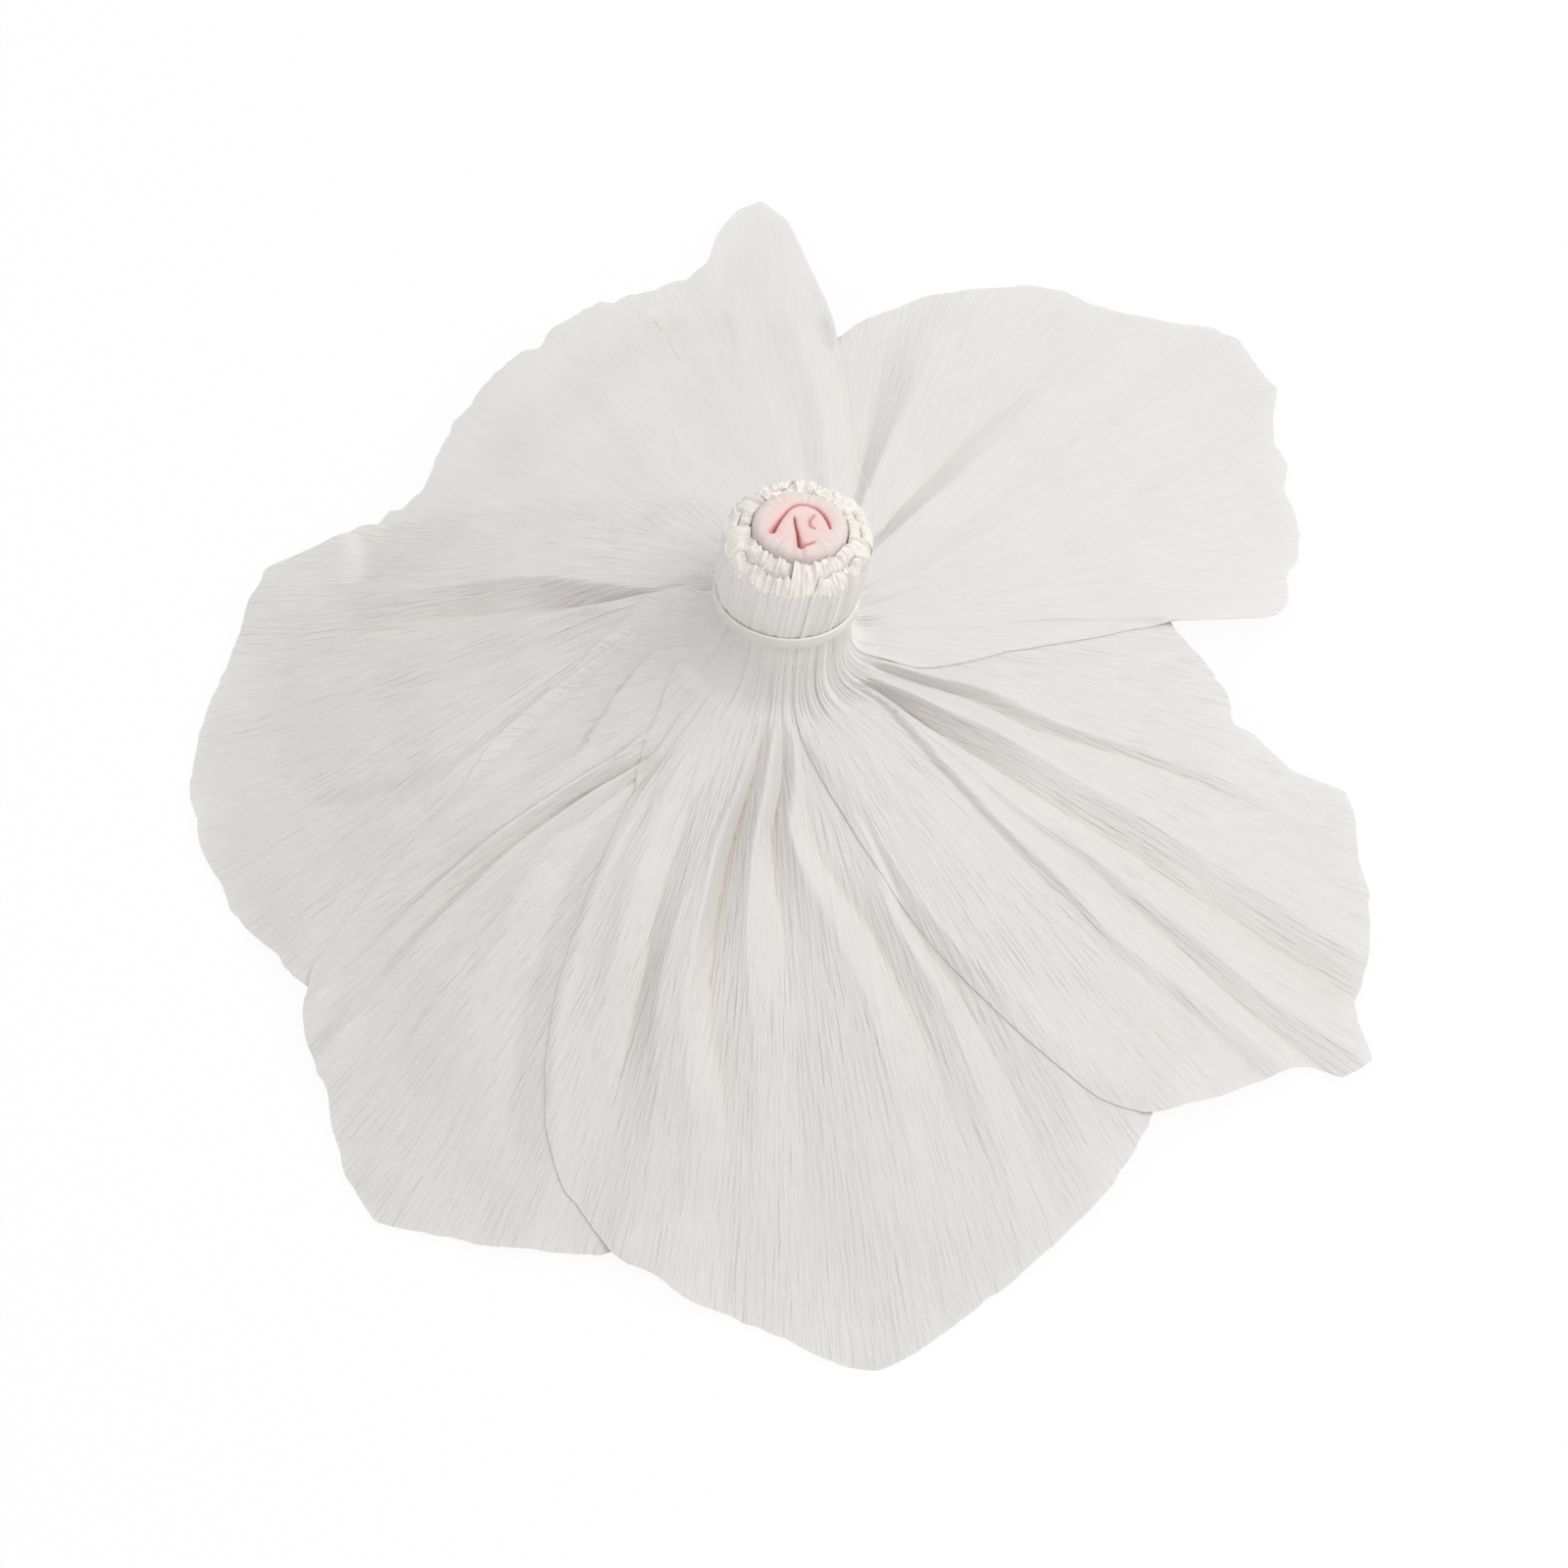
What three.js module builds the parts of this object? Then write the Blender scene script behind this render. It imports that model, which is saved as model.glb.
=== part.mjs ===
// Crepe paper flower, lying face down on the rims of its petals with its bound neck standing up.
// Six petals are gathered round a rolled centre and held by one band. Millimetres, +Z up.
import * as THREE from 'three';

// Paper and fits
const PAPER_THICKNESS = 0.4;
const CLEARANCE = 0.3;

// Rolled centre
const ROLL_RADIUS = 9.9;
const ROLL_PROUD = 2;
const ROLL_DEPTH = 12;
const ROLL_SLIT = 0.7;
const ROLL_SEGMENTS = 24;
const SLIT_STEPS = 16;

// Slits between the turns of the roll, as points from its middle in shares of its radius: the long one arches
// over the inner turns, and the short one parts them
const ROLL_SLITS = [
  [[-0.55, -0.18], [-0.4, 0.17], [-0.1, 0.55], [0.13, 0.63], [0.37, 0.57], [0.57, 0.34], [0.66, 0.02]],
  [[-0.07, 0.4], [-0.05, 0.12], [0.01, -0.2], [0.07, -0.5], [0.2, -0.53], [0.36, -0.42]],
];

// Gathered neck: heights are measured up the neck from the top of the dome
const NECK_HEIGHT = 33.5;
const BAND_HEIGHT = 17.5;
const END_STEP = 1.5;
const END_PLEAT = 0.95;
const BAND_PLEAT = 0.7;
const ROOT_PLEAT = 0.9;
const END_LAYER = 3.2;
const BAND_LAYER = 2.4;
const ROOT_LAYER = 2.8;
const FLAP_PLEAT_SHARE = 0.3;
const FLAP_SHARE = 0.2;
const LEAN = THREE.MathUtils.degToRad(10.8);
const LEAN_TOWARDS = THREE.MathUtils.degToRad(68);

// Band
const BAND_WIDTH = 2.6;
const BAND_THICKNESS = 0.7;
const BAND_SEGMENTS = 48;

// Dome that the petals drape over
const BEND_RADIUS = 8;
const DOME_HEIGHT = 19;
const DOME_HALF_WIDTH = 124;
const DOME_HALF_DEPTH = 150;
const DOME_FLARE = 1.7;
const DOME_SQUARENESS = 2.6;
const GATHER_REACH = 27;
const FOLD_MIDDLE = 30;
const FOLD_END = 106;
const PETAL_REACH = 100;
const FOLD_LIFT = 1;

// Finish
const PAPER_WHITE = '#f1efec';
const ROLL_PINK = '#f6cfc8';
const BAND_WHITE = '#e9e7e3';
const PAPER_ROUGHNESS = 0.9;
const BAND_ROUGHNESS = 0.6;

// Each petal is a fan of grain lines from its clockwise edge to its hidden edge. A line has its azimuth in
// degrees, its length from the crease in hundredths of PETAL_REACH, and its lift over the dome halfway out
// and at the rim in units of FOLD_LIFT. root gives the first, middle and last line's azimuths at the neck.
const PETALS = [
  {
    name: 'petal_rear',
    root: [45, 87.5, 130],
    lines: [
      [50, 4, 3.4, 2.4],
      [62, 17, 4.0, 2.4],
      [71, 35, 4.2, 2.4],
      [78, 53, 4.4, 2.4],
      [82, 76, 4.4, 2.4],
      [85, 89, 4.2, 2.4],
      [88, 107, 4.0, 2.2],
      [90, 120, 3.6, 1.6],
      [92, 124.5, 3.2, 1.2],
      [94.5, 120.5, 3.0, 1.4],
      [97.5, 105, 3.0, 1.6],
      [101.5, 96, 3.8, 2.4],
      [107, 93, 3.4, 2.0],
      [111.5, 94, 2.4, 1.4],
      [117, 92, 3.0, 1.8],
      [122, 88.5, 2.2, 1.2],
      [128, 87.5, 2.8, 1.6],
      [134, 83, 2.0, 1.0],
      [141, 79, 2.6, 1.4],
      [148.5, 75.5, 1.8, 0.8],
      [153, 78, 1.0, 0.6],
      [159, 80, 0.2, 0.2],
      [167, 78, 0, 0],
    ],
  },
  {
    name: 'petal_left',
    root: [93, 133, 174],
    lines: [
      [100, 4, 3.4, 2.4],
      [112, 14, 3.8, 2.4],
      [119, 21, 4.0, 2.4],
      [134, 30, 4.2, 2.4],
      [145.5, 45, 4.4, 2.4],
      [152.5, 62, 4.4, 2.6],
      [157, 81, 4.0, 2.6],
      [162, 94, 4.2, 2.4],
      [165, 99.5, 3.6, 2.0],
      [171, 100.5, 4.8, 2.8],
      [175.5, 101, 1.6, 1.2],
      [180.5, 103.5, 4.4, 2.6],
      [184, 105.5, 1.4, 0.8],
      [189, 108, 2.6, 1.6],
      [193, 108, 2.2, 1.0],
      [197.5, 108, 3.6, 2.2],
      [200.5, 107, 1.4, 0.8],
      [205, 106, 3.2, 2.0],
      [209, 104.5, 1.4, 0.8],
      [213.5, 102.5, 1.4, 1.0],
      [218.5, 101.5, 0.6, 0.6],
      [224, 101.5, 0.2, 0.2],
      [231, 99, 0, 0],
    ],
  },
  {
    name: 'petal_left_front',
    root: [150, 232, 262],
    lines: [
      [145, 4, 3.4, 2.4],
      [152, 10, 3.7, 2.4],
      [163, 14.5, 3.8, 2.4],
      [171, 18.5, 3.9, 2.4],
      [178.5, 23, 4.0, 2.4],
      [184, 29, 4.1, 2.4],
      [189.5, 35, 4.2, 2.4],
      [203, 54, 4.2, 2.4],
      [209, 71, 4.0, 2.4],
      [213.5, 89, 3.2, 2.0],
      [217.5, 103, 3.8, 2.8],
      [220.5, 107, 1.8, 1.2],
      [223.5, 110, 2.8, 1.6],
      [228, 115, 1.6, 1.0],
      [233, 124, 2.2, 1.4],
      [237, 128, 1.6, 0.4],
      [243, 124, 2.0, 1.2],
      [249, 121, 1.2, 0.6],
      [255.5, 116.5, 0.6, 0.4],
      [263, 109, 0.2, 0.2],
      [271, 100.5, 0, 0],
      [277, 104, 0, 0],
      [284, 110, 0, 0],
      [291, 103, 0, 0],
    ],
  },
  {
    name: 'petal_front',
    root: [200, 266, 332],
    lines: [
      [212, 4, 3.4, 2.4],
      [222, 11, 4.4, 2.4],
      [229, 27, 4.8, 2.4],
      [235, 51, 4.8, 2.4],
      [240, 73, 4.8, 2.6],
      [245, 91, 4.6, 2.8],
      [251, 108, 1.8, 2.0],
      [256.5, 116.5, 5.0, 2.8],
      [260, 119.5, 1.4, 1.2],
      [265, 124.5, 3.6, 1.4],
      [268.5, 128, 1.8, 0.8],
      [273, 133, 2.6, 1.0],
      [277, 136.5, 3.4, 0.6],
      [280, 134, 2.0, 0.4],
      [282.5, 131, 4.0, 1.2],
      [286, 126.5, 1.6, 0.4],
      [289.5, 123, 3.2, 1.2],
      [294, 119.5, 1.6, 0.4],
      [299, 115, 1.0, 0.6],
      [305, 108, 0.4, 0.4],
      [314, 100, 0.2, 0.2],
      [321, 81, 0, 0],
      [325, 41, 0, 0],
      [327, 4, 0, 0],
    ],
  },
  {
    name: 'petal_right',
    root: [280, 334.5, 389],
    lines: [
      [283, 4, 3.4, 2.4],
      [288.5, 13, 3.8, 2.4],
      [290.5, 36, 4.8, 2.4],
      [294, 56, 4.8, 2.4],
      [298, 77, 4.4, 2.4],
      [302.5, 99, 4.4, 2.6],
      [307, 108, 4.2, 2.6],
      [312, 112, 3.6, 2.2],
      [315, 114.5, 2.4, 1.4],
      [317, 116, 4.0, 2.4],
      [320, 120.5, 1.8, 0.8],
      [323.2, 129.5, 4.4, 3.0],
      [327.2, 120, 1.4, 0.8],
      [331.2, 118, 5.2, 3.4],
      [338, 112.5, 2.4, 1.4],
      [341.5, 108.5, 1.4, 0.8],
      [344.5, 106.5, 4.6, 2.6],
      [348.5, 103, 2.6, 1.4],
      [350, 90, 3.0, 2.0],
      [353.5, 79.5, 2.6, 1.8],
      [359, 76, 2.2, 1.6],
      [365, 70.5, 1.6, 1.2],
      [369, 66, 0.8, 0.6],
      [375, 64, 0.2, 0.2],
      [384, 51, 0, 0],
      [390, 4, 0, 0],
    ],
  },
  {
    name: 'petal_right_rear',
    root: [0, 38, 76],
    lines: [
      [-12, 5, 3.4, 2.4],
      [-9, 11, 3.8, 2.4],
      [-2, 23, 4.4, 2.4],
      [4, 36, 4.6, 2.4],
      [7.5, 56, 4.6, 2.6],
      [9.5, 81, 4.4, 2.6],
      [12, 94.5, 4.0, 2.2],
      [17, 100, 3.0, 1.4],
      [22, 106, 3.2, 2.0],
      [27, 107.5, 2.4, 1.2],
      [31.5, 112, 3.0, 1.8],
      [37, 123.5, 2.4, 1.0],
      [40, 124, 2.8, 1.4],
      [43.5, 127.5, 2.2, 0.8],
      [46.5, 125, 3.4, 1.6],
      [48.5, 121, 2.6, 1.0],
      [51, 117.5, 4.8, 2.2],
      [56, 112, 1.4, 0.8],
      [62, 110.5, 2.4, 1.2],
      [70, 99, 3.6, 1.8],
      [75.5, 89, 1.2, 0.8],
      [82, 75, 0.6, 0.6],
      [90, 80, 0.2, 0.2],
      [100, 86.5, 0, 0],
      [108, 87, 0, 0],
    ],
  },
];

// Stations down a petal: heights on the neck, angles round the bend, and shares of a line's length
const NECK_STATIONS = [1, 0.78, 0.58, 0.47, 0.35];
const BEND_STEPS = 4;
const BLADE_STATIONS = [0.1, 0.22, 0.36, 0.52, 0.68, 0.84, 1];

const { degToRad, radToDeg, lerp, smoothstep } = THREE.MathUtils;

const PIVOT = new THREE.Vector3(0, 0, DOME_HEIGHT);
const LEAN_AXIS = new THREE.Vector3(-Math.sin(LEAN_TOWARDS), Math.cos(LEAN_TOWARDS), 0);
const ROOT_RADIUS = innerRadius(ROOT_PLEAT);
const CREASE_RADIUS = ROOT_RADIUS + BEND_RADIUS;

// Middle radius of the inner layer of paper round the roll, for a given pleat depth
function innerRadius(pleat) {
  return ROLL_RADIUS + CLEARANCE + PAPER_THICKNESS / 2 + pleat;
}

// A value that is given at the bend, at the band and at the cut end, at one height up the neck
function alongNeck(height, atBend, atBand, atEnd) {
  if (height > BAND_HEIGHT) {
    return lerp(atBand, atEnd, (height - BAND_HEIGHT) / (NECK_HEIGHT - BAND_HEIGHT));
  }
  return lerp(atBend, atBand, Math.max(0, height - BEND_RADIUS) / (BAND_HEIGHT - BEND_RADIUS));
}

function domeHeight(x, y) {
  const across = Math.abs(x / DOME_HALF_WIDTH) ** DOME_SQUARENESS;
  const along = Math.abs(y / DOME_HALF_DEPTH) ** DOME_SQUARENESS;
  const inside = 1 - across - along;
  return DOME_HEIGHT * Math.sign(inside) * Math.abs(inside) ** DOME_FLARE;
}

function polar(radius, azimuth, height) {
  return new THREE.Vector3(radius * Math.cos(azimuth), radius * Math.sin(azimuth), height);
}

function leaned(point, share) {
  return point.sub(PIVOT).applyAxisAngle(LEAN_AXIS, LEAN * share).add(PIVOT);
}

// An azimuth in degrees, moved by whole turns to lie near another
function nearTo(azimuth, other) {
  return azimuth + 360 * Math.round((other - azimuth) / 360);
}

// Azimuth at the neck of the line that is a given share of the way across the petal
function rootAzimuth([first, middle, last], share) {
  const slope = 4 * middle - 3 * first - last;
  const bow = 2 * first + 2 * last - 4 * middle;
  return first + share * slope + share ** 2 * bow;
}

// Grain lines of a petal with all that its surface needs: the outer layer of the neck is 1, the inner 0
function grainLines(petal, before, after) {
  const first = petal.lines[0][0];
  const last = petal.lines.at(-1)[0];
  const margin = radToDeg((PAPER_THICKNESS + CLEARANCE) / ROLL_RADIUS);
  const outerEnd = nearTo(before.root[2], petal.root[1]) + margin;
  const innerStart = nearTo(after.root[0], petal.root[1]) - margin;
  return petal.lines.map(([azimuth, length, middleLift, endLift], index) => {
    const share = (azimuth - first) / (last - first);
    const root = rootAzimuth(petal.root, share);
    const gathered = lerp(FLAP_PLEAT_SHARE, 1, smoothstep(Math.min(share, 1 - share), 0, FLAP_SHARE));
    return {
      azimuth,
      root,
      length: (length / 100) * PETAL_REACH,
      middleLift: middleLift * FOLD_LIFT,
      endLift: endLift * FOLD_LIFT,
      layer: 1 - smoothstep(root, outerEnd, innerStart),
      pleat: index % 2 === 0 ? gathered : -gathered,
    };
  });
}

function neckPoint(line, height) {
  const pleat = alongNeck(height, ROOT_PLEAT, BAND_PLEAT, END_PLEAT);
  const layer = alongNeck(height, ROOT_LAYER, BAND_LAYER, END_LAYER);
  const radius = innerRadius(pleat) + layer * line.layer + pleat * line.pleat;
  return leaned(polar(radius, degToRad(line.root), DOME_HEIGHT + height), 1);
}

function gatherLift(line) {
  return ROOT_LAYER * line.layer + ROOT_PLEAT * line.pleat;
}

function bendPoint(line, share) {
  const angle = (share * Math.PI) / 2;
  const azimuth = degToRad(line.root);
  const across = BEND_RADIUS - gatherLift(line);
  const radius = CREASE_RADIUS - across * Math.cos(angle);
  const crease = polar(CREASE_RADIUS, azimuth, 0);
  const height = domeHeight(crease.x, crease.y) + BEND_RADIUS - across * Math.sin(angle);
  return leaned(polar(radius, azimuth, height), 1 - smoothstep(share, 0, 1));
}

function bladePoint(line, share) {
  const out = share * line.length;
  const radius = CREASE_RADIUS + out;
  const azimuth = degToRad(lerp(line.azimuth, line.root, Math.exp(-out / GATHER_REACH)));
  const nearLift = lerp(gatherLift(line), line.middleLift, smoothstep(out, 0, FOLD_MIDDLE));
  const lift = lerp(nearLift, line.endLift, smoothstep(out, FOLD_MIDDLE, FOLD_END));
  const point = polar(radius, azimuth, lift);
  point.z += domeHeight(point.x, point.y);
  return point;
}

// Points of one grain line from the cut end of the neck to the rim
function linePoints(line) {
  const cutHeight = NECK_HEIGHT - END_STEP * line.layer;
  const points = NECK_STATIONS.map((share) => neckPoint(line, Math.min(share * NECK_HEIGHT, cutHeight)));
  for (let step = 0; step <= BEND_STEPS; step += 1) {
    points.push(bendPoint(line, step / BEND_STEPS));
  }
  BLADE_STATIONS.forEach((share) => points.push(bladePoint(line, share)));
  return points;
}

// Closed sheet of paper round a grid of points, with half the thickness on each side
function sheetGeometry(columns) {
  const rows = columns[0].length;
  const count = columns.length;
  const half = PAPER_THICKNESS / 2;
  const top = [];
  const bottom = [];
  const along = new THREE.Vector3();
  const across = new THREE.Vector3();
  const normal = new THREE.Vector3();
  for (let column = 0; column < count; column += 1) {
    for (let row = 0; row < rows; row += 1) {
      const line = columns[column];
      const next = columns[Math.min(column + 1, count - 1)];
      const previous = columns[Math.max(column - 1, 0)];
      along.subVectors(line[Math.min(row + 1, rows - 1)], line[Math.max(row - 1, 0)]);
      across.subVectors(next[row], previous[row]);
      normal.crossVectors(along, across).setLength(half);
      top.push(...line[row].clone().add(normal).toArray());
      bottom.push(...line[row].clone().sub(normal).toArray());
    }
  }
  const under = count * rows;
  const at = (column, row) => column * rows + row;
  const faces = [];
  const quad = (a, b, c, d) => faces.push(a, b, c, a, c, d);
  for (let column = 0; column < count - 1; column += 1) {
    for (let row = 0; row < rows - 1; row += 1) {
      const a = at(column, row);
      const b = at(column, row + 1);
      const c = at(column + 1, row + 1);
      const d = at(column + 1, row);
      quad(a, b, c, d);
      quad(under + a, under + d, under + c, under + b);
    }
    const cut = [at(column, 0), at(column + 1, 0)];
    const rim = [at(column, rows - 1), at(column + 1, rows - 1)];
    quad(cut[0], cut[1], under + cut[1], under + cut[0]);
    quad(rim[1], rim[0], under + rim[0], under + rim[1]);
  }
  for (let row = 0; row < rows - 1; row += 1) {
    const start = [at(0, row), at(0, row + 1)];
    const end = [at(count - 1, row), at(count - 1, row + 1)];
    quad(start[1], start[0], under + start[0], under + start[1]);
    quad(end[0], end[1], under + end[1], under + end[0]);
  }
  const geometry = new THREE.BufferGeometry();
  geometry.setAttribute('position', new THREE.Float32BufferAttribute([...top, ...bottom], 3));
  geometry.setIndex(faces);
  geometry.computeVertexNormals();
  return geometry;
}

// Outline of one slit of the roll
function slitPath(shares) {
  const points = shares.map(([x, y]) => new THREE.Vector2(x, y).multiplyScalar(ROLL_RADIUS));
  const curve = new THREE.SplineCurve(points);
  const side = (offset) => {
    const edge = [];
    for (let step = 0; step <= SLIT_STEPS; step += 1) {
      const along = curve.getTangent(step / SLIT_STEPS);
      const across = new THREE.Vector2(-along.y, along.x).multiplyScalar(offset);
      edge.push(curve.getPoint(step / SLIT_STEPS).add(across));
    }
    return edge;
  };
  return new THREE.Path([...side(ROLL_SLIT / 2), ...side(-ROLL_SLIT / 2).reverse()]);
}

// Round roll whose slits are open at both ends
function rollGeometry() {
  const shape = new THREE.Shape();
  shape.absarc(0, 0, ROLL_RADIUS, 0, 2 * Math.PI);
  shape.holes = ROLL_SLITS.map(slitPath);
  const depth = NECK_HEIGHT + ROLL_PROUD + ROLL_DEPTH;
  return new THREE.ExtrudeGeometry(shape, { depth, bevelEnabled: false, curveSegments: ROLL_SEGMENTS });
}

function bandGeometry() {
  const inner = innerRadius(BAND_PLEAT) + BAND_LAYER + BAND_PLEAT + PAPER_THICKNESS / 2 + CLEARANCE;
  const outer = inner + BAND_THICKNESS;
  const half = BAND_WIDTH / 2;
  const profile = [
    new THREE.Vector2(inner, -half),
    new THREE.Vector2(outer, -half),
    new THREE.Vector2(outer, half),
    new THREE.Vector2(inner, half),
    new THREE.Vector2(inner, -half),
  ];
  return new THREE.LatheGeometry(profile, BAND_SEGMENTS).rotateX(Math.PI / 2);
}

function piece(name, geometry, colour, roughness) {
  const material = new THREE.MeshStandardMaterial({ color: colour, roughness, metalness: 0 });
  const mesh = new THREE.Mesh(geometry, material);
  mesh.name = name;
  return mesh;
}

const flower = new THREE.Group();

PETALS.forEach((petal, index) => {
  const after = PETALS[(index + 1) % PETALS.length];
  const before = PETALS[(index + PETALS.length - 1) % PETALS.length];
  const columns = grainLines(petal, before, after).map(linePoints);
  flower.add(piece(petal.name, sheetGeometry(columns), PAPER_WHITE, PAPER_ROUGHNESS));
});

// The roll and the band stand in the leaning frame of the neck
const neck = new THREE.Group();
neck.position.copy(PIVOT);
neck.quaternion.setFromAxisAngle(LEAN_AXIS, LEAN);
const roll = piece('centre_roll', rollGeometry(), ROLL_PINK, PAPER_ROUGHNESS);
roll.position.z = -ROLL_DEPTH;
const band = piece('neck_band', bandGeometry(), BAND_WHITE, BAND_ROUGHNESS);
band.position.z = BAND_HEIGHT;
neck.add(roll, band);
flower.add(neck);

// The origin is on the surface that the flower lies on, under the middle of its outline
flower.updateMatrixWorld(true);
const bounds = new THREE.Box3().setFromObject(flower, true);
const middle = bounds.getCenter(new THREE.Vector3());
flower.position.set(-middle.x, -middle.y, -bounds.min.z);
flower.updateMatrixWorld(true);

export default flower;
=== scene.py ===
import math

import bpy
import numpy as np
from mathutils import Matrix, Vector


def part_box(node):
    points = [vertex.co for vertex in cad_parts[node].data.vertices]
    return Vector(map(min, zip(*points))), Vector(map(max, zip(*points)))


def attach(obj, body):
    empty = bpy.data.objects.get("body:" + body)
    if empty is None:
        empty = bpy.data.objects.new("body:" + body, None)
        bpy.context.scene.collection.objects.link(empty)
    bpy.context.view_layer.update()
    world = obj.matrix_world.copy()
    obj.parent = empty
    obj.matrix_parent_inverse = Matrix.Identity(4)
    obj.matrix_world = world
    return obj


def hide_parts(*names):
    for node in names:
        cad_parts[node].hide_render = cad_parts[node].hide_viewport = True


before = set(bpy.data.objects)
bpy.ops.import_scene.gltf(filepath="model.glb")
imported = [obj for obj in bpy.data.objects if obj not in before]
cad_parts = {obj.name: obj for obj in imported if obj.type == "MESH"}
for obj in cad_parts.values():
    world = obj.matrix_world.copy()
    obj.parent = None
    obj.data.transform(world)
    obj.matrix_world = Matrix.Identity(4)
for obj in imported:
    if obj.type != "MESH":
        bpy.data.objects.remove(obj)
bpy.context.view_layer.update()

MM = 0.001
chance = np.random.default_rng(58)

# Paper and neck as in the solids. Lengths are in millimetres and azimuths in degrees
PAPER_THICKNESS = 0.4
CLEARANCE = 0.3
ROLL_RADIUS = 9.9
ROLL_PROUD = 2
ROLL_DEPTH = 12
NECK_HEIGHT = 33.5
BAND_HEIGHT = 17.5
BAND_WIDTH = 2.6
BAND_THICKNESS = 0.7
BAND_INNER_RADIUS = 14.62
END_STEP = 0.5
ROOT_PLEAT = 0.9
LEAN = math.radians(10.8)
LEAN_TOWARDS = math.radians(68)
BAND_CENTRE = Vector((1.2284, 3.0404, 36.190))

# Dome that the petals drape over
BEND_RADIUS = 8
DOME_HEIGHT = 19
DOME_HALF_WIDTH = 124
DOME_HALF_DEPTH = 150
DOME_FLARE = 1.7
DOME_SQUARENESS = 2.6
GATHER_REACH = 27
ROOT_RADIUS = ROLL_RADIUS + CLEARANCE + PAPER_THICKNESS / 2 + ROOT_PLEAT
CREASE_RADIUS = ROOT_RADIUS + BEND_RADIUS

# Columns and rows of a petal, and of the map of how it drapes
COLUMNS = 400
FINE_COLUMNS = 4001
EVEN_SHARE = 0.35
FOLD_FINENESS = 1.6
CROWN_ROWS = 8
NECK_ROWS = 20
BEND_ROWS = 9
BLADE_ROWS = 54
BLADE_SPACING = 1.1
# Row of the neck against its place: 0 at the cut end, 1 at the band, 2 at the bend
NECK_SPACING = ([0, 7, 12, 16, 20], [0, 0.7, 1, 1.35, 2])
MAP_TURN = 0.25
MAP_REACH = 142
OFF_THE_MAP = -99.0
SHARP_EDGE = math.radians(50)

# Way along the grain. The grain's map has 100 mm to a unit
CROWN_ALONG = 3.0
NECK_ALONG = 26.0
CREASE_ALONG = 38.0
SINGLE_LAYER = (20, CREASE_ALONG + 6)
GRAIN_RADIUS = 90.0
GRAIN_UNIT = 100

# Cut edge of a petal. Scallops have a height and a spacing
RIM_PASSES = 14
RIM_PASS_SHARE = 0.6
RIM_BLUR = 0.0015
RIM_START_TURN = 0.3
RIM_START_STEP = 3
RIM_END_TURN = 1
LEAST_TURN = 1e-4
SHORTEST_GRAIN = 3.5
LONG_GRAIN = (30, 80)
SCALLOPS = ((0.45, 2.6), (0.25, 1.1))

# How the paper falls
SHEET_THICKNESS = 0.3
RIM_THINNESS = 0.35
FOLD_SOFTNESS = 0.16
FOLD_START = 4
NARROWEST_FOLD = 0.2
BEND_TIGHTNESS = 0.6
BEND_OPENING = 0.13
FLARE_REACH = 12
FLAP_BEND = 42
FLAP_BEND_SHARE = 0.75
FLAP_LYING_SHARE = 0.06
LAYER_GAP = 0.36
COVERED = (-2, 5)
FLUTTER = 0.25
FLUTTER_TURN = 3.4
FLUTTER_START = 0.86
CREASE_RISE = 12
CREASE_FALL = 14
WAVE_HEIGHT = 0.12
WAVE_START = (5, 40)
# Painted shade in the valleys of the folds: how deep the paper lies among the folds beside it, over a width
# that is counted in columns
CREASE_SHADE_COLUMNS = 12
CREASE_SHADE_DEPTH = 1.8

# The gathered paper fills the neck in two layers: radii of their faces
NECK_INSIDE = 10.15
NECK_BETWEEN = (12.6, 12.8)
NECK_OUTSIDE = ([8, 13, 16, 17.5, 19, 22, 28, 33.5], [14.2, 13.9, 13.95, 14.2, 14.6, 15.2, 15.4, 15.2])
EDGE_GAP = 0.4
EDGE_INSIDE = 0.1
EDGE_OUTSIDE = 0.3
TUCK_WIDTH = 9
CALM_WIDTH = 3
CREASE_TUCK = 0.3
THIN_RUN = 6
BAND_PINCH = 0.7
BAND_PINCH_HEIGHT = 2.0
# How high the paper still stands where it leaves the neck, by azimuth
NECK_FLARE = (
    [0, 45, 90, 140, 190, 225, 245, 262, 280, 300, 330, 360],
    [3, 4, 5, 6, 6.5, 5, 1.5, 0, 0, 1, 2, 3],
)

# Pleats of the neck, with their drift as a size and a spacing
NECK_PLEAT = 0.6
FLAP_PLEAT_SHARE = 0.3
FLAP_SHARE = 0.2
BROAD_DEPTHS = (0.6, 1.0)
BROAD_BLUR = 0.3
BROAD_SHARE = 0.3
UNEVEN_SHARE = 0.45
UNEVEN_TURN = 7
TIGHT_SHARE = 0.6
TIGHT_PITCH = 3.7
TIGHT_DRIFT = (0.7, 8)
UPWARD_DRIFT = (0.9, 6)
STRENGTH_MEAN = 0.55
STRENGTH_SWING = 0.45
STRENGTH_TURN = 9
STRENGTH_LEAN = 0.4
CRACK_SPACING = 7.0
CRACK_DEPTH = 0.35
CRACK_SCATTER = 5
CRACK_LEAN = 0.12
CRACK_STRENGTHS = (0.3, 1.0)
CRACK_WIDTHS = (0.5, 1.3)

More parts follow.
